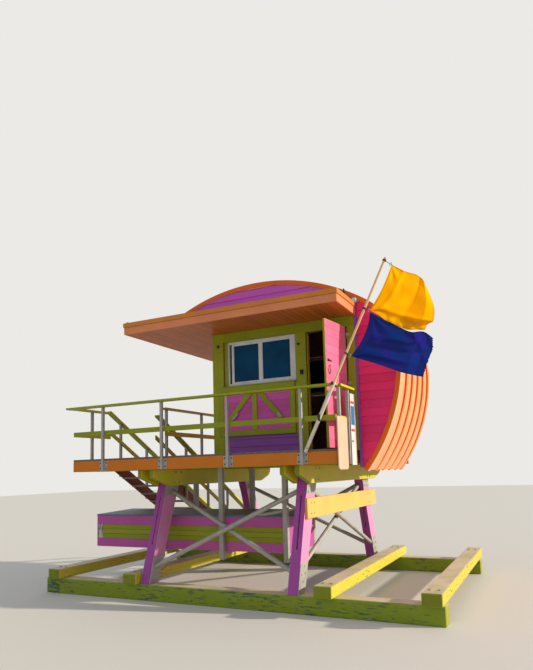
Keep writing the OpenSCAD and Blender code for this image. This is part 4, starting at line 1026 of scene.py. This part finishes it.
def flag(name, top, fly, low, hoist, flat, depth, fray, material, node):
    """A flag between four edge lines in the pole's frame; depth(s, t) gives its folds and
    fray the ragged ends of its fly edge"""
    nu, nv = 110, 80
    rng = np.random.default_rng(7)
    points, uvs, hems = [], [], []
    c00, c10, c01, c11 = (np.array(p, float) for p in (low[0], low[-1], top[0], top[-1]))
    for j in range(nv + 1):
        t = j / nv
        left, right = smooth_line(hoist[::-1], t), smooth_line(fly[::-1], t)
        rag = rng.random(3) * fray
        for i in range(nu + 1):
            s = i / nu
            bottom, upper = smooth_line(low, s), smooth_line(top, s)
            p = (1 - t) * bottom + t * upper + (1 - s) * left + s * right
            p -= (1 - s) * (1 - t) * c00 + s * (1 - t) * c10 + (1 - s) * t * c01 + s * t * c11
            end = max(0, 1 - (nu - i) / 1.5)
            points.append(by_pole(p[0] - rag[0] * end, p[1] + (rag[1] - fray / 2) * 0.4 * end,
                                  depth(s, t) + rag[2] * 0.6 * end))
            uvs.append((s * flat[0], t * flat[1]))
            hems.append(float(i < 4 or i > nu - 3 or j < 3 or j > nv - 3))
    corners = [(0, 0), (0, 1), (1, 1), (1, 0)]
    mesh = drawn(name, points, faces=[[(j + dj) * (nu + 1) + i + di for dj, di in corners]
                                      for j in range(nv) for i in range(nu)])
    layer = mesh.uv_layers.new(name="grain")
    for k, loop in enumerate(mesh.loops):
        layer.data[k].uv = uvs[loop.vertex_index]
    mesh.attributes.new("hem", "FLOAT", "POINT").data.foreach_set("value", hems)
    mesh.shade_smooth()
    obj = fitted(name, mesh, material, [node])


def step(x, start, end):
    """Smooth step from 0 to 1"""
    x = max(0, min(1, (x - start) / (end - start)))
    return x * x * (3 - 2 * x)


def yellow_folds(s, t):
    """The wind bellies the cloth out, turns it away past a slanting fold, and gathers it
    below"""
    near, far = 0.46 + 0.27 * t, 0.8 + 0.04 * t
    w = -110 * s + 10 * math.sin(math.pi * t) * math.sin(math.pi * s)
    w += 400 * (s - near) * step(s, near - 0.04, near + 0.04) * step(t, 0.1, 0.26)
    w -= 400 * (s - far) * step(s, far - 0.03, far + 0.03) * step(t, 0.04, 0.2)
    w += 30 * ridge(s, 0.2, 0.08) * ridge(t, 0.62, 0.2) + 20 * ridge(s, 0.11 + 0.2 * t, 0.05)
    w += 20 * ridge(t, 0.14 + 0.12 * s, 0.06) * math.sin(math.pi * s)
    w += 12 * ridge(t, 0.02, 0.06) * math.sin(34 * s) * min(1, 3 * s)
    w += creases(s, t, (0, 0), 9, 26, 0.35, 0.4) + creases(s, t, (0, 1), 8, 14, 0.3, 1.2)
    w += 4 * math.sin(11 * s + 9 * t) * math.sin(7 * t - 5 * s + 1) * min(1, 2 * s)
    return w * min(1, 8 * s)


def navy_folds(s, t):
    """The cloth pulls from its lower hoist corner and flutters at the fly"""
    far = 0.78 - 0.1 * t
    w = 90 * s + 50 * math.sin(math.pi * s) * (0.4 + 0.6 * t)
    w += 46 * ridge(t, 0.12 + 0.2 * s, 0.07) * math.sin(math.pi * min(1, s * 1.2))
    w -= 50 * ridge(t, 0.28 + 0.3 * s, 0.07) * math.sin(math.pi * s)
    w += 44 * ridge(t, 0.5 + 0.4 * s, 0.08) * math.sin(math.pi * s)
    w -= 420 * (s - far) * step(s, far - 0.03, far + 0.03)
    w += 460 * (s - 0.88) * step(s, 0.85, 0.91)
    w -= 30 * ridge(s - 0.3 * t, 0.55, 0.05) * step(t, 0.3, 0.7)
    w += 26 * ridge(s + 0.5 * t, 1.15, 0.05) * t
    w += 16 * math.sin(22 * s + 13 * t) * max(0, s - 0.45) * max(0, t - 0.15) * 2
    w += creases(s, t, (0, 0), 11, 34, 0.45, 0.0) + creases(s, t, (0, 1), 9, 28, 0.35, 0.8)
    w += 6 * math.sin(13 * s - 8 * t) * math.sin(9 * t + 6 * s + 2) * min(1, 2 * s)
    return w * min(1, 8 * s)


flag("yellow_flag_cloth",
     [(139, 3188), (310, 3160), (458, 3149), (575, 3151), (669, 3124), (792, 3028)],
     [(792, 3028), (894, 2927), (1026, 2746), (1060, 2600), (1037, 2523), (1025, 2446)],
     [(100, 2445), (239, 2427), (381, 2387), (507, 2380), (609, 2370), (758, 2359), (882, 2399),
      (1025, 2446)],
     [(139, 3188), (144, 2981), (138, 2769), (110, 2548), (100, 2445)], (1.1, 0.85),
     yellow_folds, 3, nylon("yellow_nylon", "#f8a800", "#ffb800", 0.8), "yellow_flag")
flag("navy_flag_cloth",
     [(106, 2416), (301, 2401), (507, 2380), (758, 2359), (1011, 2423), (1155, 2385)],
     [(1155, 2385), (1218, 2226), (1216, 2088), (1228, 1955), (1245, 1811)],
     [(92, 1688), (303, 1709), (546, 1732), (787, 1744), (928, 1754), (1127, 1787), (1245, 1811)],
     [(106, 2416), (152, 2254), (163, 2114), (146, 1891), (92, 1688)], (1.25, 0.85),
     navy_folds, 16, nylon("navy_nylon", "#04307e", "#24208a", 0.5), "navy_flag")

# Rope: the pole is lashed to both rails, each flag is tied at its hoist corners with a
# snap hook, and a loop hangs on the door. Dark three-strand line, 10 mm thick. A round
# steel strap holds the tube at its foot.
tree, given = fresh_tree("Rope along a path", Float=["Radius"])
curve = add(tree, "GeometryNodeMeshToCurve", {0: given["Geometry"]})
ring = add(tree, "GeometryNodeCurvePrimitiveCircle", {"Resolution": 8, "Radius": given["Radius"]})
rope_tree = end_tree(tree, given, swept(tree, curve, ring))

tarred_rope, tree = blank("tarred_rope")
uv = add(tree, "ShaderNodeUVMap", uv_map="grain")
# three strands, one turn in about 40 mm
lay = add(tree, "ShaderNodeMapping", {0: uv, "Rotation": (0, 0, 0.75)})
strand = add(tree, "ShaderNodeTexWave", {"Vector": lay, "Scale": 24.0, "Distortion": 0.6},
             wave_type="BANDS").outputs["Fac"]
tint = add(tree, "ShaderNodeMix", {0: strand, 6: linear("#191410"), 7: linear("#5a4c3d")},
           data_type="RGBA")
bump = add(tree, "ShaderNodeBump", {"Height": strand, "Strength": 0.8, "Distance": 0.002})
shader = add(tree, "ShaderNodeBsdfPrincipled", {"Base Color": tint, "Roughness": 0.85,
                                                "Normal": bump})
add(tree, "ShaderNodeOutputMaterial", {0: shader})


def rope(name, paths, radius, material=tarred_rope, body="tower", turned=None):
    """Rope or rod along lines of points, each list one run"""
    points, edges = [], []
    for path in paths:
        edges += [(len(points) + k, len(points) + k + 1) for k in range(len(path) - 1)]
        points += path
    mesh = grown(name, drawn(name, points, edges), rope_tree, {"Radius": radius}, Material=material)
    mesh.shade_smooth()
    if turned:
        mesh.transform(turned)
    fitted(name, mesh, material, (), body)


def angles(pitch, count):
    """The angles of so many steps of a turn, by a pitch in degrees"""
    return [math.radians(pitch * k) for k in range(count + 1)]


def lashing(x, y0, y1, z0, z1, turns, pitch):
    """Turns of rope round everything between two corners, seen from the end"""
    path = []
    for k, a in enumerate(angles(15, turns * 24)):
        y, z = ((lo + hi) / 2 + (hi - lo) / 2 * math.copysign(abs(wave) ** 0.45, wave)
                for lo, hi, wave in ((y0, y1, math.cos(a)), (z0, z1, math.sin(a))))
        path.append(at(x + pitch * k / 24, y, z))
    return path


def pole_turns(v, turns, radius=26, pitch=10):
    """Turns of line round the pole at a height along it"""
    return [by_pole(radius * math.cos(a), v + pitch * a / 6.283, radius * math.sin(a))
            for a in angles(20, turns * 18)]


rope("pole_lashings", [lashing(5518, -166, 53, 3592, 3649, 4, 11),
                       lashing(5258, -124, 47, 3046, 3153, 4, 12)], 5)
ties = []
for v, corner in ((3215, (139, 3188)), (2440, (102, 2440)), (1700, (92, 1688))):
    ties += [pole_turns(v - 15, 3), [by_pole(24, v), by_pole(
        (24 + corner[0]) / 2, (v + corner[1]) / 2 - 9), by_pole(corner[0] + 4, corner[1])]]
rope("flag_ties", ties, 4)
rope("flag_snap_hooks", [[by_pole(u + 14 * math.cos(a), v + 26 * math.sin(a))
                          for a in angles(30, 12)]
                         for u, v in ((118, 3190), (82, 2441), (74, 1690))],
     4, zinc)
rope("pole_foot_strap", [[by_pole(36 * math.cos(a), 70, 36 * math.sin(a)) for a in angles(15, 24)]],
     6, zinc)

# Small iron: a hasp, a staple and a rope loop on the door, a latch and a switch box on the
# post beside the window, a turn button on the corner board, and a bracket and a round
# lamp at the edge of the arch.
dark_iron = galvanised("black_iron", "#2a2a28", 0.55)
built("door_hasp", [board(*sides) for sides in (
    # strap, staple and plate
    (4715, 4835, 1039, 1045, 4078, 4112), (4728, 4752, 1026, 1039, 4083, 4107),
    (4700, 4715, 1030, 1045, 4070, 4120))],
    2, 210, dark_iron, (), "door", swing)
loop = [at(4748 + 34 * math.sin(a), 1035 - 6 * math.cos(a), 3940 + 78 * math.cos(a))
        for a in angles(12, 30)]
rope("door_loop", [loop], 5, body="door", turned=swing)
built("small_iron", [board(*sides) for sides in (
    # latch and its bolt, switch box and its cover
    (4468, 4500, 1022, 1045, 4585, 4622), (4500, 4530, 1034, 1045, 4595, 4610),
    (4515, 4572, 1012, 1045, 4030, 4112), (4532, 4556, 1004, 1012, 4045, 4075),
    # turn button on the left corner board, bracket under the arch, foot and pin on the roof
    (2762, 2790, 1014, 1032, 4715, 4775), (2746, 2806, 1018, 1032, 4752, 4770),
    (5405, 5425, 1020, 1045, 5425, 5505), (1262, 1330, 62, 110, 5220, 5234),
    (1285, 1303, 76, 96, 5234, 5246))], 2, 211, dark_iron)
bm = bmesh.new()
facing_front = Matrix.Translation(at(5596, 1021, 5262)) @ Matrix.Rotation(math.radians(90), 4, "X")
bmesh.ops.create_cone(bm, cap_ends=True, segments=24, radius1=0.052, radius2=0.04, depth=0.045,
                      matrix=facing_front)
lamp = settled("arch_lamp", bm)
grain(lamp, 212)
fitted("arch_lamp", lamp, white_vinyl)

# A plain cream panel and a notice board on the right-hand rail: painted sheet with rounded
# lower corners, and a thin sheet in a white frame whose face carries plain blocks of colour.
cream = oil_paint("cream_panel_paint", "#d9ad92", chips=0.12, bare="#b9a585")
x0, sheet_t, panel_t = deck_w + 50, 12, 18
r, ya, yb, za, zb = 70, -110, 360, 2270, 3110
ring = [(ya, zb), (yb, zb)]
ring += [(yb - r + r * math.cos(a), za + r - r * math.sin(a)) for a in angles(15, 6)]
ring += [(ya + r - r * math.sin(a), za + r - r * math.cos(a)) for a in angles(15, 6)]
built("cream_panel", [prism(ring, x0, x0 + panel_t, "yz")], 2, 200, cream,
      ["rail_panel"])
ya, yb, za, zb, b = 570, 820, 2340, 3540, 15
built("notice_sheet", [board(x0, x0 + depth, *sides) for depth, *sides in (
    (sheet_t, ya, yb, za, zb), (panel_t, ya, ya + b, za, zb), (panel_t, yb - b, yb, za, zb),
    (panel_t, ya + b, yb - b, za, za + b), (panel_t, ya + b, yb - b, zb - b, zb))],
    1, 201, white_vinyl, ["notice_board"])
for name, code, blocks in (
        ("notice_blue", "#1d6ea8", [(600, 790, 3010, 3330)]),
        ("notice_red", "#c8372f", [(600, 790, 3370, 3410), (600, 790, 2900, 2940),
                                   (600, 700, 2720, 2750)])):
    built(name, [board(x0 + sheet_t, x0 + sheet_t + 1, *sides) for sides in blocks], 0, 202,
          oil_paint(name + "_print", code, chips=0.05))

# A pale studio floor, a soft warm key from the right and slightly behind, and an even fill.
size = 60
floor = linked("studio_floor", drawn("studio_floor", [
    (-size, -size, 0), (size, -size, 0), (size, size, 0), (-size, size, 0)], faces=[(0, 1, 2, 3)]))
paper, tree = blank("pale_floor")
shader = add(tree, "ShaderNodeBsdfPrincipled", {"Base Color": linear("#dcd8d0"), "Roughness": 0.9})
add(tree, "ShaderNodeOutputMaterial", {0: shader})
floor.data.materials.append(paper)

world = bpy.data.worlds.new("studio")
scene.world = world
world.use_nodes = True
tree = world.node_tree
tree.nodes.clear()
path = add(tree, "ShaderNodeLightPath").outputs
seen = add(tree, "ShaderNodeMath", {0: path["Is Camera Ray"], 1: path["Is Transmission Ray"]},
           operation="MAXIMUM")
fill = add(tree, "ShaderNodeBackground", {0: linear("#e9eef6"), 1: 0.62})
backdrop = add(tree, "ShaderNodeBackground", {0: linear("#eceae6"), 1: 1.0})
both = add(tree, "ShaderNodeMixShader", {0: seen, 1: fill, 2: backdrop})
add(tree, "ShaderNodeOutputWorld", {0: both})

key = bpy.data.lights.new("key", "SUN")
key.energy, key.angle, key.color = 4.2, 0.03, (1.0, 0.9, 0.74)
sun_side = Vector((0.87, 0.30, 0.31))
linked("key", key).rotation_euler = sun_side.to_track_quat("Z", "Y").to_euler()

scene.view_settings.view_transform = "Standard"

# The camera stands where the photograph was taken from, at its angle and field of view.
yaw, pitch, roll = (math.radians(a) for a in (25.93, 6.57, -1.58))
ahead = Vector((-math.sin(yaw) * math.cos(pitch), math.cos(yaw) * math.cos(pitch),
                math.sin(pitch)))
right = Vector((math.cos(yaw), math.sin(yaw), 0))
up = right.cross(ahead)
right, up = (right * math.cos(roll) + up * math.sin(roll),
             up * math.cos(roll) - right * math.sin(roll))
focal_px, photo_h, film_h = 578.6, 670, 36
lens = bpy.data.cameras.new("camera")
lens.sensor_fit, lens.sensor_height = "VERTICAL", film_h
lens.lens = focal_px / photo_h * film_h
lens.shift_x, lens.shift_y = -0.0007, 0.1043
lens.clip_end = 500
stand = Matrix.Translation(at(8545, -8697, 2269))
scene.camera = linked("camera", lens)
scene.camera.matrix_world = stand @ Matrix((right, up, -ahead)).transposed().to_4x4()
